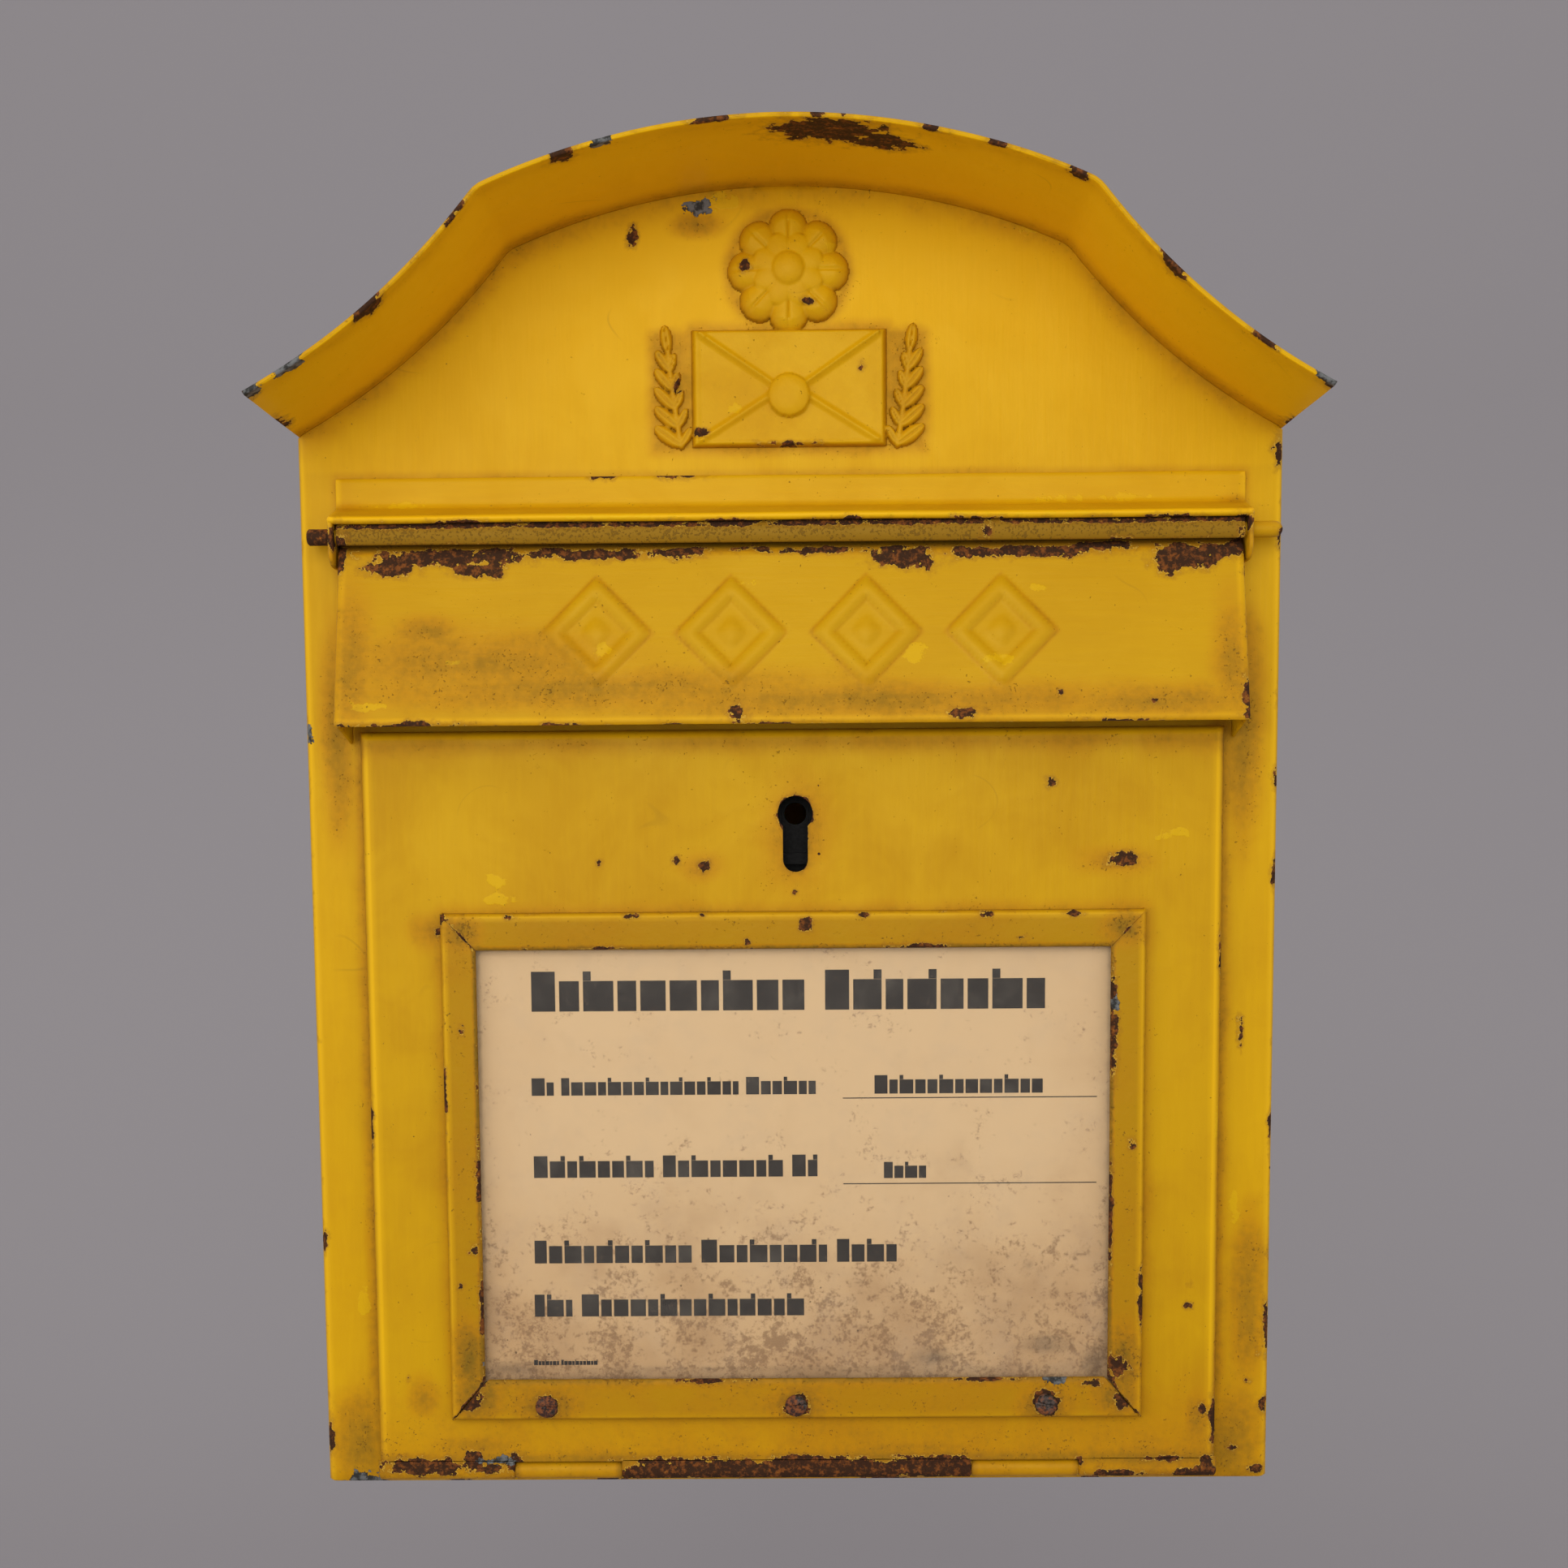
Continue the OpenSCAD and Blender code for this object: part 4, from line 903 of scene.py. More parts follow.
class LETTERBOX_OT_roof(bpy.types.Operator):
    """Builds the arched roof sheet with its rounded rims"""

    bl_idname = "letterbox.roof"
    bl_label = "Roof"

    def execute(self, context):
        line = spread(roof_line(), 1.8)
        obj = self.polyline("roof_sheet", [[q[0], 0, q[1]] for q in line], False)
        # the sweep lays a section out turned by half a turn
        section = self.polyline("roof_section", [[-q[0], -q[1], 0] for q in self.section()], True)
        self.sweep_tree().run(obj, Section=section, Wobble=0.5 * MM, Still=FRONT * MM, Seed=4.0,
            Finish=finish("enamel_roof"))
        bpy.data.objects.remove(section)
        finish_piece(obj, "box", ["roof"], "enamel_roof", self.wear)
        return {"FINISHED"}

    @staticmethod
    def polyline(name, points, closed):
        """An object whose mesh is a chain of edges, in millimetres."""
        obj = mesh_object(name, points, [])
        count = len(points) if closed else len(points) - 1
        start = np.arange(count)
        obj.data.edges.add(count)
        obj.data.edges.foreach_set("vertices",
            np.stack([start, (start + 1) % len(points)], axis=1).ravel())
        return obj

    @staticmethod
    def section():
        """The sheet cut across the roof line: (y, height over the underside), with round rims."""
        t, front, back = shape().roof_sheet - 0.12, ROOF_LOW[1] + 0.1, ROOF_HIGH[1] - 0.1
        depth = np.concatenate([np.arange(front + 1.5, FRONT + 8, 1.5),
            np.arange(FRONT + 8, back - 2, 4.6)])
        return np.concatenate([
            [[y, t] for y in depth[::-1]], arc((front + t / 2, t / 2), t / 2, 90, 270, 10),
            [[y, 0.0] for y in depth], arc((back - t / 2, t / 2), t / 2, -90, 90, 6)])

    @staticmethod
    def sweep_tree():
        """A node tree that sweeps a section along a line and lets the sheet wander a little,
        less so within 1 / 24 m of a place that keeps still."""
        n = Shaping("roof_sweep", (("Section", "Object"), ("Wobble", "Float"), ("Still", "Float"),
            ("Seed", "Float")))
        line = n.add("GeometryNodeMeshToCurve", {0: n.given["Geometry"]})
        line = n.add("GeometryNodeSetCurveNormal", {0: line.outputs[0]}, mode="Z_UP")
        info = n.add("GeometryNodeObjectInfo", {"Object": n.given["Section"]})
        section = n.add("GeometryNodeMeshToCurve", {0: info.outputs["Geometry"]})
        sheet = n.add("GeometryNodeCurveToMesh", {"Curve": line.outputs[0],
            "Profile Curve": section.outputs[0], "Fill Caps": True})
        where = n.add("GeometryNodeInputPosition").outputs[0]
        depth = n.add("ShaderNodeSeparateXYZ", {0: where}).outputs["Y"]
        noise = n.add("ShaderNodeTexNoise", {"Vector": where, "W": n.given["Seed"],
            "Scale": 1 / 0.055, "Detail": 1.0}, noise_dimensions="4D").outputs[0]
        far = n.math("ABSOLUTE", n.math("SUBTRACT", depth, n.given["Still"]))
        free = n.math("MINIMUM", (far, 24.0), 1.0)
        lift = (n.math("SUBTRACT", noise, 0.5), n.given["Wobble"])
        offset = n.add("ShaderNodeCombineXYZ", {"Z": ((lift, 2.0), free)})
        moved = n.add("GeometryNodeSetPosition", {"Geometry": sheet.outputs[0],
            "Offset": offset.outputs[0]})
        n.end(moved.outputs[0])
        return n

    @staticmethod
    def wear(x, p, z):
        rust = most(spots(x, p, ROOF_RUST),
            near(p - 60, 3) * (0.22 + 0.22 * wave(x, z, 19, 1.1)),
            near(p + 150, 3.5) * (0.40 + 0.3 * wave(x, z, 15, 2.4)),
            near(np.abs(x) - HALF_W, 3) * (0.34 + 0.24 * wave(p, z, 13, 0.3)))
        # Painted shade on the roof's underside next to the front panel; painted light makes the
        # whole underside paler
        under = (z < under_roof(x) + 0.4) & (p > -1)
        dirt = np.maximum(0.45 * near(p - 2, 10) * under + 0.10 + 0.22 * near(p - 56, 9),
            0.40 * near(np.abs(x) - 92, 26) * (p < 0))
        return {"rust": rust, "bare": spots(x, p, ROOF_BARE), "dirt": dirt, "pale": 1.15 * under}


class LETTERBOX_OT_hood(bpy.types.Operator):
    """Builds the hood over the flap: flange, sloping ledge with a beaded edge, and two ears"""

    bl_idname = "letterbox.hood"
    bl_label = "Hood"

    def execute(self, context):
        slope, ledge_z = shape().ledge_slope, HOOD_TOP - 9.5
        bead_p, bead_r = FRONT - HOOD_LOW[1] - 1.3, 1.25
        bead_z = ledge_z - (bead_p - SHEET) * math.tan(slope) - bead_r
        bead = arc((bead_p, bead_z), bead_r, 90 - math.degrees(slope), -120, 10)
        flange = [[SHEET, HOOD_TOP - 0.5], [SHEET, ledge_z + 1.6], [SHEET + 0.25, ledge_z + 0.7],
            [SHEET + 1.1, ledge_z - 0.1]]
        profile = np.concatenate([spread(flange, 1.2), spread([flange[-1], bead[0]], 1.6)[1:],
            bead[1:]])
        x, p, z = sweep(np.linspace(-HOOD_X + 0.4, HOOD_X - 0.4, 150), profile)
        z = z + 0.30 * wave(x, p, 40, 0.2) * np.clip((p - 3) / 8, 0, 1)
        z = z + 0.22 * wave(x, p, 26, 3.0) * np.clip((z - HOOD_TOP + 2) / 2, 0, 1)
        ear, ear_sheet = self.ear_outline(ledge_z, bead_p, bead_z), 1.4
        parts = [bent_sheet(x, p, z, 1.1, turned=True)]
        parts += [plate_part(ear, x0, x0 + ear_sheet)
            for x0 in (-HOOD_X, HOOD_X - ear_sheet)]
        obj = mesh_object("hood", *join_parts(parts))
        finish_piece(obj, "box", ["slot_hood"], "enamel_hood", self.wear)
        return {"FINISHED"}

    @staticmethod
    def ear_outline(ledge_z, bead_p, bead_z):
        """Side view of an end plate."""
        low, r = HOOD_LOW[2] + 0.2, 5.0
        foot = arc((bead_p + 0.9 - r, low + r), r, -90, 0, 8)
        outline = np.concatenate([[[0.1, ledge_z - 0.4], [0.1, low]], foot,
            [[bead_p + 0.9, bead_z], [bead_p - 1.0, bead_z + 1.0]]])
        return spread(np.vstack([outline, outline[:1]]), 1.2)[:-1]

    @staticmethod
    def wear(x, p, z):
        inward, fall = HOOD_X - np.abs(x), HOOD_TOP - z
        under = (fall > 14.9) & (p < 12.5) & (inward > 2)
        # Rust and grime under the ledge are laid dark enough to be also painted shade in the gap
        # over the flap's roll
        rust = most(spots(x, z, HOOD_RUST), 0.52 * under,
            near(fall - 15.2, 1.6) * (p > 10) * (0.34 + 0.26 * wave(x, p, 8, 0.6)))
        dirt = np.maximum(0.34 * near(fall - 9, 2.4) + 0.28 * near(inward - 3, 8),
            0.6 * (fall > 17.5))
        # Painted highlights along the bead's edge and the ears' edges
        return {"rust": rust, "fresh": spots(x, z, HOOD_FRESH), "dirt": dirt,
            "pale": 0.9 * near(fall - 14.1, 0.9) * (p > 11) + 0.8 * near(inward - 0.4, 1.0)}


def lozenge_reach(x, down):
    """How far a place on the flap is from its nearest lozenge's middle: 1 on the lozenge's rim."""
    pitch, middle, half_w, half_h = 41.2, 31.5, 16.5, 17.5
    nearest = np.min([np.abs(x - i * pitch - 2.5) for i in (-1.5, -0.5, 0.5, 1.5)], axis=0)
    return nearest / half_w + np.abs(down - middle) / half_h


class LETTERBOX_OT_flap(bpy.types.Operator):
    """Builds the hinged flap with its rolled edge, pressed lozenges and side cheeks"""

    bl_idname = "letterbox.flap"
    bl_label = "Letter flap and rod"

    def execute(self, context):
        s = shape()
        profile, down = self.section()
        x, p, z = sweep(np.linspace(-FLAP_X + 0.45, FLAP_X - 0.45, 222), profile)
        free = np.clip((down - 8) / 10, 0, 1) * np.clip((HALF_W - 17 - np.abs(x)) / 8, 0, 1)
        lift = self.relief(x, down) * s.relief + 0.22 * wave(x, down, 34, 1.5) * free
        parts = [bent_sheet(x, p + lift * math.cos(s.flap_lean), z + lift * math.sin(s.flap_lean),
            1.15)]
        parts += [plate_part(self.cheek(), x0, x0 + SHEET, 0.4)
            for x0 in (-FLAP_X, FLAP_X - SHEET)]
        obj = mesh_object("flap", *join_parts(parts))
        finish_piece(obj, "flap", ["letter_flap"], "enamel_flap", self.wear)
        self.rod()
        return {"FINISHED"}

    @staticmethod
    def plate_point(down, off):
        """A point down millimetres along the leaning plate and off in front of the rod's axis."""
        lean = shape().flap_lean
        return (ROD_P + off * math.cos(lean) + down * math.sin(lean),
            ROD_Z + off * math.sin(lean) - down * math.cos(lean))

    def section(self):
        """Side view of the sheet's outer face: round the rod, then down the plate. Also returns
        each point's distance down the plate, which is 0 on the roll."""
        roll = arc((ROD_P, ROD_Z), ROLL_R, -38, 232, 44)[:-6]
        neck = np.array(self.plate_point(5.2, -1.1))
        step = neck - roll[-1]
        ease = [roll[-1] + step * 0.34 - [0.35, 0.25], roll[-1] + step * 0.70 - [0.15, 0.25]]
        down = np.concatenate([np.linspace(6.2, 9, 4), np.linspace(10.1, 59.6, 44)])
        profile = np.concatenate([roll, ease, [neck], [self.plate_point(d, -0.8) for d in down]])
        return profile, np.concatenate([np.zeros(len(profile) - len(down)), down])

    @staticmethod
    def relief(x, down):
        """Four pressed lozenge frames, each with a small dome in the middle."""
        reach = lozenge_reach(x, down)
        ridge = np.clip(1.6 - np.abs(reach - 0.80) / 0.13, 0, 1)
        dome = np.sqrt(np.clip(1 - (reach / 0.26) ** 2, 0, 1))
        return np.maximum(ridge ** 2 * (3 - 2 * ridge), 0.9 * dome)

    def cheek(self):
        """Side view of an end plate."""
        start, end = self.plate_point(7.0, -1.5), self.plate_point(59.4, -1.4)
        return spread([start, end, (0.9, FLAP_LOW[2] + 0.1), (0.9, ROD_Z - 11),
            (ROD_P - 4, ROD_Z - 5), start], 2.0)[:-1]

    def rod(self):
        """The rod, cut square on the left and rounded over on the right."""
        r, left, right = ROD_R, ROD_LOW[0], ROD_HIGH[0]
        profile = [(left, 0.01), (left, r - 0.5), (left + 0.5, r)]
        profile += [(x, r) for x in np.linspace(left + 4, right - 4, 40)]
        profile += [(right - r + r * math.sin(a), r * math.cos(a))
            for a in np.radians([0, 25, 50, 70, 88])]
        vertices, faces = lathe_part(profile, 28)
        obj = mesh_object("rod", vertices + [0, place(ROD_P), ROD_Z], faces)
        finish_piece(obj, "box", ["flap_rod"], "enamel_flap", self.rod_wear)

    @staticmethod
    def rod_wear(x, p, z):
        rust = most(np.clip((-FLAP_X - 0.2 - x) / 2, 0, 1), 0.8 * near(x, FLAP_X - 0.8),
            spots(x, z, ROD_RUST))
        return {"rust": rust, "dirt": 0.3}

    @staticmethod
    def wear(x, p, z):
        inward, low, over_rod, front = FLAP_X - np.abs(x), z - FLAP_LOW[2], z - ROD_Z, p > 17
        reach = lozenge_reach(x, -over_rod / math.cos(shape().flap_lean))
        # The rust over the top of the roll is also painted shade in the gap under the hood
        rust = most(spots(x, z, FLAP_RUST) * np.where((p > 7.0) | (over_rod < -9.6), 1.0, 0.6),
            near(over_rod + 4.4, 2.2) * (p < 12.8) * (0.50 + 0.24 * wave(x, z, 10, 0.9)),
            near(low - 4.6, 1.3) * (p > 18) * (0.36 + 0.26 * wave(x, p, 9, 2.2)),
            near(inward, 1.2) * (0.34 + 0.22 * wave(z, p, 8, 1.2)),
            0.62 * np.clip((over_rod - 0.2) / 2, 0, 1))
        # Painted shade: the roll's top under the hood is darkened past its grime, and thin dark
        # lines round the lozenges' ridges paint the shade in their creases
        dirt = most(0.84 * spots(x, z, FLAP_DIRT), 0.40 * near(low - 5, 6) * front,
            np.clip(1.25 + (over_rod + 1.6) / 9, 0.9, 1.9) * (over_rod > -4.6),
            0.50 * near(reach - 1.04, 0.12), 0.34 * near(reach - 0.58, 0.10))
        # Painted highlights along the cheeks' edges and the flap's lower edge
        return {"rust": rust, "fresh": spots(x, z, FLAP_FRESH), "dirt": dirt,
            "pale": 0.7 * near(inward - 1.2, 1.2) + 0.6 * near(low - 6.3, 0.9) * front}


class LETTERBOX_OT_door(bpy.types.Operator):
    """Builds the raised door pan with its keyhole and rolled bottom edge, and the fixed knuckles"""

    bl_idname = "letterbox.door"
    bl_label = "Door and hinge"

    def execute(self, context):
        obj = mesh_object("door", *join_parts([self.pan(), *self.rolls()]))
        meet = math.degrees(math.acos(KEY_SLOT_R / KEY_R))
        outline = np.concatenate([arc((KEY_X, KEY_Z), KEY_R, -meet, 180 + meet, 28),
            arc((KEY_X, KEY_Z - KEY_SLOT_LOW + KEY_SLOT_R), KEY_SLOT_R, 180, 360, 14)])
        cut(obj, [prism_part(outline, place(DOOR_P + 4), place(DOOR_P - 4))])
        finish_piece(obj, "door", ["door_pan"], "enamel_door", self.wear, 42)
        self.knuckles()
        return {"FINISHED"}

    def pan(self):
        """The pan's face, folds and flanges as one bent grid."""
        half, foot, gap, r = DOOR_X, ROLL_TOP + 0.1, 0.7, FOLD_R

        def side(edge):
            """From the flange's free edge over the fold to the face, as (place, drop)."""
            inward = -np.sign(edge)
            flange = [(edge, d) for d in np.linspace(DOOR_P - gap, r, 4)[:-1]]
            return flange + [(edge + inward * (r - r * math.cos(a)), r - r * math.sin(a))
                for a in np.radians(np.linspace(0, 90, 8))]

        across = [(x, 0) for x in np.linspace(-half + r, half - r, 186)[1:-1]]
        up = [(z, 0) for z in np.linspace(foot, DOOR_TOP - r, 166)[:-1]]
        x, drop_x = np.array(side(-half) + across + side(half)[::-1]).T
        z, drop_z = np.array(up + side(DOOR_TOP)[::-1]).T
        drop = np.maximum(drop_x[:, None], drop_z)
        x, z = np.meshgrid(x, z, indexing="ij")
        free = (np.clip((half - 6 - np.abs(x)) / 20, 0, 1) * np.clip((DOOR_TOP - 4 - z) / 20, 0, 1)
            * np.clip((z - foot - 2) / 12, 0, 1))
        p = DOOR_P - drop + 0.22 * wave(x, z, 52, 2.6) * free - 0.1 * free
        return bent_sheet(x, p, z, SHEET - 0.1)

    def rolls(self):
        """The three stretches of the bottom edge that are rolled around the pin."""
        inner, outer = LEAF_LOW[0] - 0.5, LEAF_HIGH[0] + 0.5
        lead = [[DOOR_P, z] for z in np.linspace(HINGE_Z + 3.8, HINGE_Z + 0.4, 4)]
        curl = arc((HINGE_P, HINGE_Z), DOOR_P - HINGE_P, 0, -292, 30)
        profile = np.concatenate([lead, curl])
        parts = []
        for x0, x1 in ((-DOOR_X, -outer), (-inner, inner), (outer, DOOR_X)):
            along = np.linspace(x0 + 0.2, x1 - 0.2, max(12, int((x1 - x0) / 2.2)))
            x, p, z = sweep(along, profile)
            swell = 1 + 0.03 * wave(x, 0, 7, 0.8)
            p = np.where(z > HINGE_Z + 0.3, p, HINGE_P + (p - HINGE_P) * swell)
            z = HINGE_Z + (z - HINGE_Z) * swell
            parts.append(bent_sheet(x, p, z, 1.15, turned=True))
        return parts

    def knuckles(self):
        """The two fixed straps: a leaf on the panel that wraps round the pin."""
        leaf = spread([[0.05, HINGE_Z + 9.1], [0.05, HINGE_Z + 1.0]], 1.5)
        under = np.array([[0.25, -0.5], [1.0, -1.8], [2.3, -2.55], [3.6, -2.85]]) + [0, HINGE_Z]
        curl = arc((HINGE_P, HINGE_Z), 2.9, -90, 178, 34)
        profile = np.concatenate([leaf, under, curl])
        for side in ("left", "right"):
            low, high = node_box("hinge_leaf_" + side)
            strap = sweep(np.linspace(low[0] + 0.2, high[0] - 0.2, 18), profile)
            obj = mesh_object("knuckle_" + side, *bent_sheet(*strap, 1.2))
            finish_piece(obj, "box", ["hinge_leaf_" + side], "enamel_door",
                self.knuckle_wear)

    @staticmethod
    def knuckle_wear(x, p, z):
        ends = near(np.abs(np.abs(x) - KNUCKLE_X) - KNUCKLE_HALF, 1.6)
        rust = np.maximum(ends * (0.42 + 0.2 * wave(z, x, 3, 1.0)),
            0.46 * near(z - LEAF_LOW[2] - 0.2, 1.0))
        return {"rust": rust, "dirt": 0.42 + 0.4 * ends}

    @staticmethod
    def wear(x, p, z):
        inward, facing = DOOR_X - np.abs(x), p > DOOR_P - 1.5
        inside = (p < DOOR_P - 1.0) & (inward > 1.9) & (z > ROLL_TOP) & (z < DOOR_TOP - 2)
        past = np.maximum(KEY_Z - KEY_SLOT_LOW + KEY_SLOT_R - z, 0) + np.maximum(z - KEY_Z, 0)
        key = np.minimum(np.hypot(x - KEY_X, z - KEY_Z) - KEY_R,
            np.hypot(x - KEY_X, past) - KEY_SLOT_R)
        marks = np.maximum(spots(x, z, DOOR_RUST), spots(x, z, ROLL_RUST) * (z < ROLL_TOP))
        edge = np.maximum(near(inward - 0.3, 1.4), near(z - DOOR_TOP, 1.4))
        rust = most(np.where(inside, 0, marks),
            edge * (0.26 + 0.24 * wave(z + x, p, 10, 2.0)),
            near(key, 2.0) * facing * (0.50 + 0.14 * wave(x, z, 3, 1.0)))
        frame_gap = outside(x, z, FRAME_HIGH[0], STRIP_LOW[2], FRAME_HIGH[2])
        # Painted shade: darker round the card frame, along the door's side flanges and under the
        # flap's lower edge; it also grows darker towards the bottom and just above the roll
        dirt = most(0.8 * spots(x, z, DOOR_DIRT), 0.66 * near(key, 5) * facing,
            0.50 * near(frame_gap, 6) * facing,
            0.9 * near(inward + 0.3, 1.6) + 0.5 * near(z - 238, 8),
            0.52 * np.clip(1 - (z - ROLL_TOP) / 46, 0, 1) + 0.4 * near(z - ROLL_TOP - 0.5, 3))
        # Painted highlights along the door's side folds and its top fold
        pale = 0.9 * np.maximum(near(inward - 2.1, 1.3), near(z - 240.2, 1.3)) * facing
        return {"rust": rust, "bare": spots(x, z, DOOR_BARE),
            "fresh": spots(x, z, DOOR_FRESH) * facing, "dirt": dirt,
            "pale": pale * (z > ROLL_TOP - 1)}


class LETTERBOX_OT_card_frame(bpy.types.Operator):
    """Builds the three-sided card frame, its mitred bottom strip and the screws"""

    bl_idname = "letterbox.card_frame"
    bl_label = "Card frame and screws"

    def execute(self, context):
        lip, top_lip, foot, gap = 11.0, 11.6, STRIP_HIGH[2] - STRIP_LOW[2], 0.12
        left, right, low, high = FRAME_LOW[0], FRAME_HIGH[0], STRIP_LOW[2], FRAME_HIGH[2]
        sides = [
            self.bar((left, low), (left, high), (1, 0), lip, foot, top_lip, 0.0, gap),
            self.bar((left, high), (right, high), (0, -1), top_lip, lip, lip, gap, gap),
            self.bar((right, high), (right, low), (-1, 0), lip, top_lip, foot, gap, 0.0),
        ]
        obj = mesh_object("card_holder", *join_parts(sides))
        finish_piece(obj, "door", ["card_frame"], "enamel_frame", self.wear)
        strip = self.bar((right - 0.6, low), (left + 0.6, low), (0, 1), foot, lip, lip, 0.5, 0.5)
        obj = mesh_object("card_strip", *strip)
        finish_piece(obj, "door", ["frame_strip"], "enamel_frame", self.strip_wear)
        self.screws()
        return {"FINISHED"}

    def bar(self, a, b, inward, width, width_a, width_b, gap_a, gap_b):
        """One side of the frame, from corner a to corner b in (x, z), its ends cut to meet sides
        of width_a and width_b with the given gaps."""
        r = 1.6
        profile = [(0.0, q) for q in np.linspace(DOOR_P + 0.05, FRAME_P - r, 4)]
        profile += [(r - r * math.cos(t), FRAME_P - r + r * math.sin(t))
            for t in np.radians([15, 30, 45, 60, 75, 90])]
        profile += [(t, FRAME_P - 0.30 * ((t - r) / (width - r)) ** 2)
            for t in np.linspace(r, width - 0.5, 8)[1:]]
        profile += [(width - 0.12, FRAME_P - 0.55), (width, FRAME_P - 1.1)]
        out, height = np.array(profile).T
        length = math.dist(a, b)
        along = (np.array(b) - a) / length
        share = np.linspace(0, 1, max(20, int(length / 2.5)))[:, None]
        start = out / width * width_a + gap_a
        end = length - out / width * width_b - gap_b
        run = start + (end - start) * share
        x, z = (a[k] + along[k] * run + inward[k] * out for k in (0, 1))
        bow = 0.10 * wave(run, width, 22, 1.0)
        p = height + bow * np.clip(out / 4, 0, 1) - 0.1
        return bent_sheet(x, p, z, 1.0, turned=True)

    def screws(self):
        """Three slotted screws, set out by a node tree from one modelled screw."""
        model = mesh_object("screw_model", *self.screw_part())
        clean_normals(model)
        smooth(model, 40)
        reach, z = SCREWS_HIGH[0] - 3.6, (SCREWS_LOW[2] + SCREWS_HIGH[2]) / 2
        obj = mesh_object("strip_screws", [[x, place(FRAME_P), z] for x in (-reach, 0, reach)], [])
        self.row_tree().run(obj, Screw=model, Turn=6.2, Seed=5, Finish=finish("rusty_steel"))
        bpy.data.objects.remove(model)
        finish_piece(obj, "door", ["frame_screws"], "rusty_steel", None, 40)

    @staticmethod
    def row_tree():
        """A node tree that sets a screw on every point, each turned by chance about its axis."""
        n = Shaping("screw_row", (("Screw", "Object"), ("Turn", "Float"), ("Seed", "Int")))
        screw = n.add("GeometryNodeObjectInfo", {"Object": n.given["Screw"]})
        chance = n.add("FunctionNodeRandomValue", {2: 0.0, 3: n.given["Turn"],
            "Seed": n.given["Seed"]}, data_type="FLOAT")
        turn = n.add("ShaderNodeCombineXYZ", {"Y": chance.outputs[1]})
        row = n.add("GeometryNodeInstanceOnPoints", {"Points": n.given["Geometry"],
            "Instance": screw.outputs["Geometry"], "Rotation": turn.outputs[0]})
        n.end(row.outputs[0])
        return n

    @staticmethod
    def screw_part():
        """One screw about its own axis along -Y, its head's seat at the origin."""
        r, top, shank_r, steps = 3.5, 1.9, 1.95, 36
        profile = [(0.02, -8.6), (1.5, -8.6), (shank_r, -8.1), (shank_r, 0.0), (r, 0.0), (r, 0.45),
            (r - 0.22, 0.95), (r * 0.78, 1.45), (r * 0.5, top - 0.12), (r * 0.22, top), (0.02, top)]
        vertices = []
        for q, h in profile:
            for a in np.linspace(0, 2 * math.pi, steps, endpoint=False):
                x, z = q * math.cos(a), q * math.sin(a)
                groove = 0.9 * min(1.0, max(0.0, (0.62 - abs(z)) / 0.22)) if h > 0.9 else 0.0
                vertices.append([x, groove - h, z])
        last = [len(vertices) - steps + k for k in range(steps)]
        return np.array(vertices), (ring_faces(len(profile), steps)
            + [list(range(steps)), last[::-1]])

    @staticmethod
    def wear(x, p, z):
        side = np.abs(x)
        inner = np.maximum(near(side - WINDOW_X, 1.3) * (z < WINDOW_TOP + 0.6),
            near(z - WINDOW_TOP, 1.3) * (side < WINDOW_X + 0.6))
        outer = np.maximum(near(side - FRAME_X, 1.2), near(z - FRAME_TOP, 1.2))
        past = side - WINDOW_X + 0.4
        mitre = near(past - (z - WINDOW_TOP + 0.3) * 0.95, 1.0) * (z > WINDOW_TOP - 1.4)
        foot = near(past + (z - WINDOW_FOOT) * 0.83, 1.8) * (z < WINDOW_FOOT + 0.9)
        rust = most(spots(x, z, FRAME_RUST), inner * (0.36 + 0.26 * wave(x + z, p, 9, 1.4)),
            outer * (0.28 + 0.2 * wave(x + z, p, 8, 2.9)), 0.52 * mitre, 0.58 * foot)
        # Painted shade: darker where the frame meets the door
        dirt = 0.28 + 0.75 * inner + 0.34 * near(p - DOOR_P - 0.5, 2.2)
        # Painted highlights along the frame's outer folds
        edge = np.maximum(near(side - FRAME_X + 0.8, 1.1), near(z - FRAME_TOP + 0.8, 1.1))
        return {"rust": rust, "bare": spots(x, z, FRAME_BARE),
            "dirt": np.maximum(dirt, spots(x, z, FRAME_DIRT)),
            "pale": 0.6 * edge * (p > FRAME_P - 1.5)}

    @staticmethod
    def strip_wear(x, p, z):
        ends = near((np.abs(x) - WINDOW_X + 1) + (z - WINDOW_FOOT) * 0.83, 1.6)
        rust = most(spots(x, z, STRIP_RUST), 0.56 * ends,
            near(z - WINDOW_FOOT + 0.3, 1.2) * (0.34 + 0.26 * wave(x, p, 9, 0.4)))
        # Painted shade: darker where the strip meets the door
        dirt = 0.34 + 0.2 * near(p - DOOR_P - 0.5, 2) + 0.5 * near(z - WINDOW_FOOT + 0.1, 2.6)
        # Painted highlight along the strip's lower edge
        return {"rust": rust, "bare": spots(x, z, FRAME_BARE),
            "dirt": np.maximum(dirt, spots(x, z, FRAME_DIRT)),
            "pale": 0.5 * near(z - STRIP_LOW[2] - 1, 0.9) * (p > FRAME_P - 1.5)}


def card_face(x, z):
    """How far in front of the panel the warped card's face lies."""
    return CARD_P + shape().card_wave * (0.5 + 0.5 * wave(x, z, 60, 1.1))


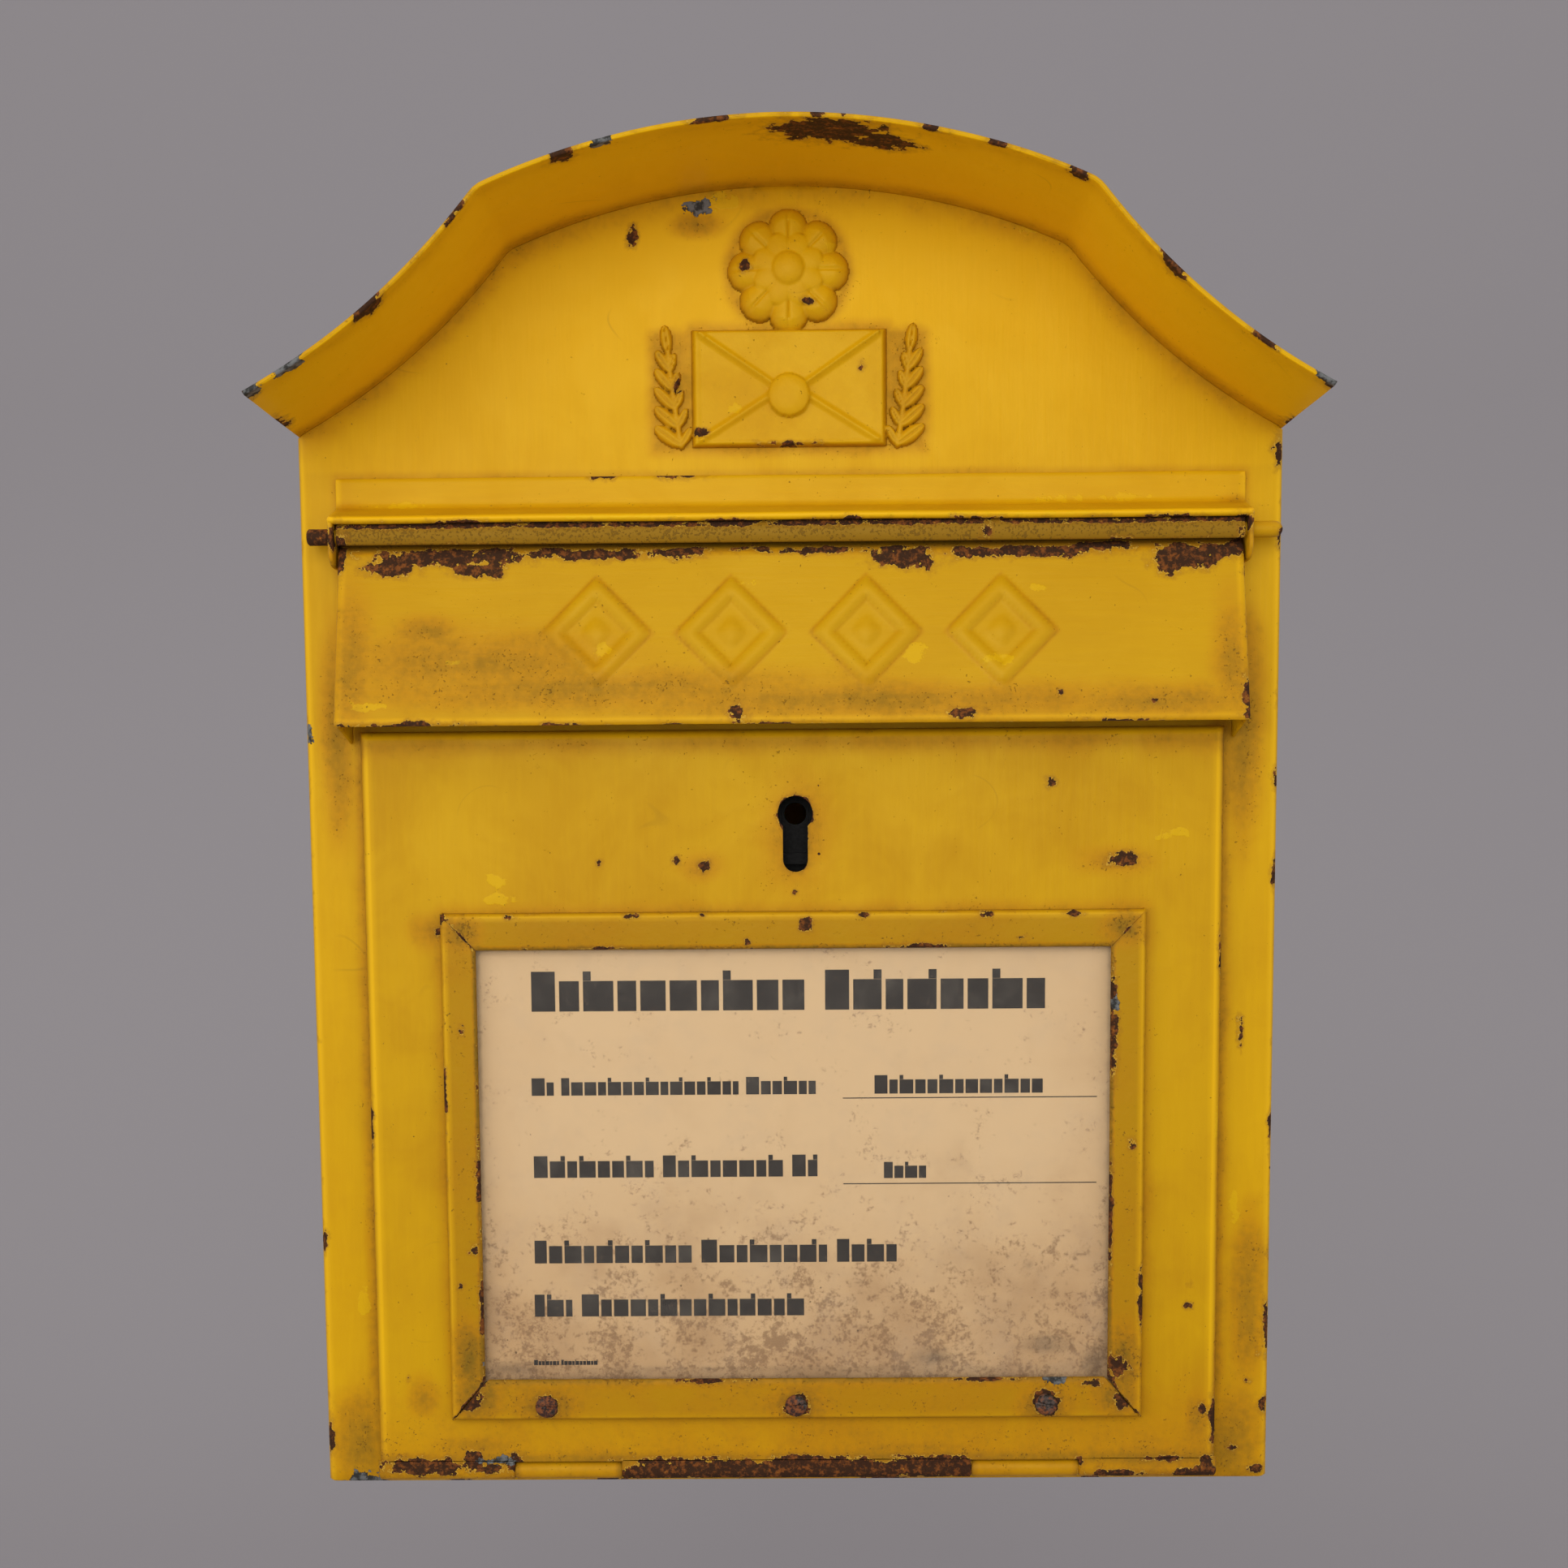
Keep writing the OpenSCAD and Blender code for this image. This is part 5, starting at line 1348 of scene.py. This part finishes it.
class LETTERBOX_OT_card(bpy.types.Operator):
    """Builds the warped notice card and its printed bars, and gives the clear sheet over it its
    finish
    """

    bl_idname = "letterbox.card"
    bl_label = "Notice card"

    def execute(self, context):
        x, z = np.meshgrid(np.linspace(CARD_LOW[0], CARD_HIGH[0], 70),
            np.linspace(CARD_LOW[2], CARD_HIGH[2], 50), indexing="ij")
        obj = mesh_object("card", *bent_sheet(x, card_face(x, z), z, 0.28))
        finish_piece(obj, "door", ["notice_card"], "card", self.wear)
        self.print_bars()
        paint_with(frame["nodes"]["card_pane"], "pane")
        return {"FINISHED"}

    @staticmethod
    def wear(x, p, z):
        # Painted shadow: the card darkens along the frame's side and top edges
        return {"dirt": most(spots(x, z, CARD_DIRT),
            0.62 * near(np.abs(x) - WINDOW_X - 0.1, 3.0), 0.5 * near(z - WINDOW_TOP - 0.1, 1.8))}

    def print_bars(self):
        """Rows of plain bars where the notice is printed, and two ruled lines. A row is its
        left end, foot, height and the widths of its words."""
        rows = [
            (-82.3, 154.6, 12.6, (87, 72)),
            (-82.8, 127.9, 5.6, (7, 56, 22)),
            (25.4, 127.9, 5.9, (55,)),
            (-82.6, 101.6, 7.0, (38, 38, 8)),
            (28.3, 100.9, 5.2, (14,)),
            (-82.9, 74.0, 7.4, (50, 40, 20)),
            (-83.2, 56.7, 7.2, (12, 72)),
            (-83.8, 40.9, 1.7, (8, 12)),
        ]
        parts = []
        for left, foot, height, words in rows:
            start = left
            for k, word in enumerate(words):
                parts += self.word(start, foot, height, word, seed=left + foot + 3.1 * k)
                start += word + 0.42 * height
        parts += [self.bar(15.4, 95.5, z, z + 0.32) for z in (126.4, 99.0)]
        obj = mesh_object("card_print", *join_parts(parts))
        finish_piece(obj, "door", [], "ink")

    def word(self, left, foot, height, width, seed):
        """One word as a row of plain blocks of uneven width and height."""
        blocks, x, k = [], left, 0
        while x < left + width - 0.25 * height:
            pulse = math.sin(seed + 2.4 * k)
            wide = min(height * (0.60 + 0.16 * pulse), left + width - x)
            tall = height * (1.0 if k == 0 else 0.76)
            blocks.append(self.bar(x, x + wide, foot, foot + tall))
            if k and pulse > 0.55:
                stem = x if pulse > 0.8 else x + wide - 0.2 * height
                blocks.append(self.bar(stem, stem + 0.2 * height, foot + tall + 0.06,
                    foot + height))
            x += wide + 0.10 * height
            k += 1
        return blocks

    def bar(self, x0, x1, z0, z1):
        """A thin printed block that follows the card's surface."""
        columns = max(2, int((x1 - x0) / 4) + 1)
        x, z = np.meshgrid(np.linspace(x0, x1, columns), [z0, z1], indexing="ij")
        return bent_sheet(x, card_face(x, z) + 0.035, z, 0.06, rim=0.0)


class LETTERBOX_OT_ornament(bpy.types.Operator):
    """Sculpts the cast ornament: a rosette over a sealed envelope between two sprigs"""

    bl_idname = "letterbox.ornament"
    bl_label = "Cast ornament"

    def execute(self, context):
        low, high, step = ORNAMENT_LOW - 1, ORNAMENT_HIGH + 1, 0.42
        x, z = np.meshgrid(*(np.arange(low[k], high[k] + step, step) for k in (0, 2)),
            indexing="ij")
        height = self.height(x, z)
        height = height + np.where(height > 0.4, 0.07 * wave(x, z, 3.1, 0.5), 0)
        keep = height > 0.12
        corner = functools.reduce(np.logical_or,
            (np.roll(keep, (i, j), (0, 1)) for i in (-1, 0, 1) for j in (-1, 0, 1)))
        index = np.full(x.shape, -1)
        index[corner] = np.arange(corner.sum())
        vertices = np.stack([x, place(np.where(keep, height, -0.4)), z], axis=2)[corner]
        quads = np.stack([index[:-1, :-1], index[1:, :-1], index[1:, 1:], index[:-1, 1:]], axis=2)
        obj = mesh_object("casting", vertices, quads[(quads >= 0).all(axis=2)].tolist())
        self.close_back(obj)
        finish_piece(obj, "box", ["ornament"], "enamel_cast", self.wear, 75)
        return {"FINISHED"}

    @staticmethod
    def close_back(obj):
        """Closes the relief with a flat back just inside the panel's face."""
        bm = bmesh.new()
        bm.from_mesh(obj.data)
        rim = [e for e in bm.edges if e.is_boundary]
        for made in bmesh.ops.extrude_edge_only(bm, edges=rim)["geom"]:
            if isinstance(made, bmesh.types.BMVert):
                made.co.y = place(-0.5) * MM
        bmesh.ops.holes_fill(bm, edges=[e for e in bm.edges if e.is_boundary], sides=0)
        bm.to_mesh(obj.data)
        bm.free()

    @staticmethod
    def dome(reach, tall):
        """A rounded cushion: reach is 0 in the middle and 1 at the rim."""
        return tall * np.clip(1 - reach ** 2, 0, 1) ** 0.5

    def height(self, x, z):
        """How far the casting stands out at a place, 0 beside it."""
        envelope_z, half_w, half_h = ORNAMENT_LOW[2] + 18.0, 30.0, 17.6
        rosette_z, rosette_r = ORNAMENT_HIGH[2] - 19.0, 18.6
        side = np.abs(x)
        reach = np.maximum(side / half_w, np.abs(z - envelope_z) / half_h)
        plate = 3.1 * np.clip((1 - reach) * 9, 0, 1) ** 0.45
        plate += 1.25 * np.clip(1 - np.abs(reach - 0.955) * 16, 0, 1) * (reach < 1)
        fold_z = envelope_z - 2.6
        top_line = (z - fold_z) - (side / half_w) * (envelope_z + half_h - fold_z)
        low_line = (z - (envelope_z - half_h)) - (1 - side / half_w) * (half_h + 1.0)
        for line in (top_line / 1.16, low_line / 1.2):
            plate += 1.15 * np.clip(1 - np.abs(line) / 1.5, 0, 1) * (reach < 0.93)
        plate += 0.55 * (top_line > 0) * (reach < 0.93)
        seal = np.hypot(x, z - fold_z) / 6.4

        r, t = np.hypot(x, z - rosette_z), np.arctan2(z - rosette_z, x)
        crest, furrow = np.abs(np.cos(4 * t)), np.abs(np.sin(4 * t))
        outer = rosette_r * (0.80 + 0.20 * crest ** 0.6)
        inner = 11.2 * (0.78 + 0.22 * furrow ** 0.6)
        petal = (self.dome(np.clip(r / outer, 0, 1), 2.4) + 1.9 * crest ** 0.7
            * np.clip(r / rosette_r, 0, 1) * np.clip((1 - r / outer) * 5, 0, 1))
        petal -= (0.8 * np.clip(1 - furrow * 5, 0, 1) * (r > 8)
            * np.clip((1 - r / outer) * 4, 0, 1))
        return most(np.where(reach < 1, plate, 0),
            np.where(seal < 1, 4.6 + self.dome(seal, 1.6), 0),
            np.where(r < outer, petal + 0.9, 0),
            np.where(r < inner, 3.4 + self.dome(r / inner, 1.7), 0),
            np.where(r < 5, 4.6 + self.dome(r / 5, 2.2), 0),
            self.sprig(x, z - envelope_z), self.sprig(-x, z - envelope_z))

    def sprig(self, x, z):
        """Leaves along a curved stem beside the envelope, for positive x."""
        height = np.zeros_like(x)
        for k in range(6):
            foot_x, foot_z = self.stem(k)
            pair = ((36 + 5 * k, 10.2 - 0.6 * k), (120 - 4 * k, 6.6 - 0.2 * k))
            for turn, size in pair if k < 5 else ((82, 8.5),):
                c, s = math.cos(math.radians(turn)), math.sin(math.radians(turn))
                along = (x - foot_x) * c + (z - foot_z) * s
                across = np.abs((z - foot_z) * c - (x - foot_x) * s)
                half = 0.23 * size * np.sqrt(np.clip(4 * along / size * (1 - along / size), 0, 1))
                inside = (along > 0) & (along < size) & (across < half)
                leaf = self.dome(np.clip(across / np.maximum(half, 0.05), 0, 1), 1.9) + 0.6
                leaf -= 0.8 * np.clip(1 - across / 0.5, 0, 1)
                height = np.maximum(height, np.where(inside, leaf, 0))
        for u in np.linspace(0, 5.0, 50):
            stem_x, stem_z = self.stem(u)
            reach = np.hypot(x - stem_x, z - stem_z)
            height = np.maximum(height, np.where(reach < 1, 0.8 + self.dome(reach, 1.3), 0))
        return height

    @staticmethod
    def stem(u):
        """A point of the right sprig's stem, u from 0 at its foot to 5 at its tip, measured from
        the envelope's middle."""
        return 33.4 + 1.0 * u - 0.05 * u * u, -17.2 + 5.6 * u

    @staticmethod
    def wear(x, p, z):
        return {"rust": np.maximum(spots(x, z, CASTING_RUST), 0.30 * near(p - 0.4, 0.8)),
            "fresh": spots(x, z, CASTING_FRESH), "dirt": 0.20 + 0.62 * np.clip(1 - p / 3.2, 0, 1)}


class LETTERBOX_OT_inner_parts(bpy.types.Operator):
    """Gives the CAD parts that stay their finishes"""

    bl_idname = "letterbox.inner_parts"
    bl_label = "Inner parts"

    def execute(self, context):
        finishes = {
            "enamel": ("back_panel", "bottom_pan", "letter_guard"),
            "steel": ("bolt_keeper",),
            "rusty_steel": ("hinge_pin", "frame_nuts", "lock_studs", "lock_nuts",
                "ornament_screws"),
            "lock_steel": ("lock_plate", "lock_case", "lock_bolt", "bolt_spring"),
        }
        for name, nodes in finishes.items():
            for node in nodes:
                paint_with(frame["nodes"][node], name)
        return {"FINISHED"}


class LETTERBOX_OT_stage(bpy.types.Operator):
    """Sets the backdrop, the soft lights and the camera"""

    bl_idname = "letterbox.stage"
    bl_label = "Stage"

    def execute(self, context):
        context.scene.view_settings.view_transform = "Standard"
        self.backdrop()
        self.lights(context.scene)
        self.camera(context.scene)
        return {"FINISHED"}

    def backdrop(self):
        """A floor that curves up into a wall far behind, as one smooth sheet. The letterbox hangs
        over it as on a wall, high enough for the open door to swing down."""
        profile = np.concatenate([[[-2600.0, 0.0], [500.0, 0.0]],
            arc((500, 900), 900, -90, 0, 16)[1:], [[1400.0, 3400.0]]])
        floor_z = -DOOR_TOP - 20
        vertices = [[x, q[0], q[1] + floor_z] for q in profile for x in (-3200, 3200)]
        faces = [[2 * k, 2 * k + 1, 2 * k + 3, 2 * k + 2] for k in range(len(profile) - 1)]
        obj = mesh_object("backdrop", vertices, faces)
        obj.data.shade_smooth()
        paint_with(obj, "backdrop")

    def lights(self, scene):
        """A soft room, dimmer in reflections, and three soft lamps."""
        world = bpy.data.worlds.new("soft_room")
        world.use_nodes = True
        n = Nodes(world.node_tree)
        reflected = n.add("ShaderNodeLightPath").outputs["Is Glossy Ray"]
        level = n.add("ShaderNodeMapRange", {"Value": reflected, "To Min": 0.78, "To Max": 0.14})
        background = world.node_tree.nodes["Background"].inputs
        n.feed(background["Color"], (1.0, 0.98, 0.97))
        n.feed(background["Strength"], level.outputs[0])
        scene.world = world
        for name, at, aim, size, power in (
                ("front_softbox", (-80, -1000, 500), (0, 0, 300), 0.7, 4.6),
                ("left_softbox", (-1000, -900, 260), (0, -40, 230), 0.8, 3.2),
                ("right_softbox", (1000, -900, 240), (0, -40, 220), 0.8, 1.8)):
            data = bpy.data.lights.new(name, "AREA")
            data.shape, data.size, data.energy = "SQUARE", size, power
            self.aim(scene, name, data, at, np.subtract(aim, at))

    @staticmethod
    def aim(scene, name, data, at, towards, roll=0.0):
        """Adds a lamp or camera at a place in millimetres, looking along a direction."""
        obj = bpy.data.objects.new(name, data)
        obj.location = [v * MM for v in at]
        turn = Vector(towards).to_track_quat("-Z", "Y").to_matrix()
        obj.rotation_euler = (turn @ Matrix.Rotation(roll, 3, "Z")).to_euler()
        scene.collection.objects.link(obj)
        return obj

    def camera(self, scene):
        data = bpy.data.cameras.new("camera")
        data.sensor_width, data.lens, data.shift_y = 36, 44.9, 0.142
        data.clip_start, data.clip_end = 0.05, 20
        pitch, yaw, roll = np.radians([5.59, 0.49, -0.44])
        towards = (-math.sin(yaw) * math.cos(pitch), math.cos(yaw) * math.cos(pitch),
            -math.sin(pitch))
        scene.camera = self.aim(scene, "camera", data, (2.3, -664.7, 215.5), towards, roll)


class LETTERBOX_PT_panel(bpy.types.Panel):
    """Lists the letterbox's pieces in the sidebar"""

    bl_label = "Letterbox"
    bl_idname = "LETTERBOX_PT_panel"
    bl_space_type = "VIEW_3D"
    bl_region_type = "UI"
    bl_category = "Letterbox"

    def draw(self, context):
        for operator in OPERATORS:
            self.layout.operator(operator.bl_idname)
        for group in (context.scene.letterbox_shape, context.scene.letterbox_colours):
            box = self.layout.box()
            for name in group.__annotations__:
                box.prop(group, name)


OPERATORS = (
    LETTERBOX_OT_shell,
    LETTERBOX_OT_roof,
    LETTERBOX_OT_hood,
    LETTERBOX_OT_flap,
    LETTERBOX_OT_door,
    LETTERBOX_OT_card_frame,
    LETTERBOX_OT_card,
    LETTERBOX_OT_ornament,
    LETTERBOX_OT_inner_parts,
    LETTERBOX_OT_stage,
)
CLASSES = (LetterboxShape, LetterboxColours, *OPERATORS, LETTERBOX_PT_panel)


def register():
    for cls in CLASSES:
        bpy.utils.register_class(cls)
    bpy.types.Scene.letterbox_shape = PointerProperty(type=LetterboxShape)
    bpy.types.Scene.letterbox_colours = PointerProperty(type=LetterboxColours)


def unregister():
    del bpy.types.Scene.letterbox_shape
    del bpy.types.Scene.letterbox_colours
    for cls in reversed(CLASSES):
        bpy.utils.unregister_class(cls)


def main():
    """Builds every piece."""
    register()
    for operator in OPERATORS:
        group, name = operator.bl_idname.split(".")
        getattr(getattr(bpy.ops, group), name)()
    bpy.context.view_layer.update()


if __name__ == "__main__":
    main()
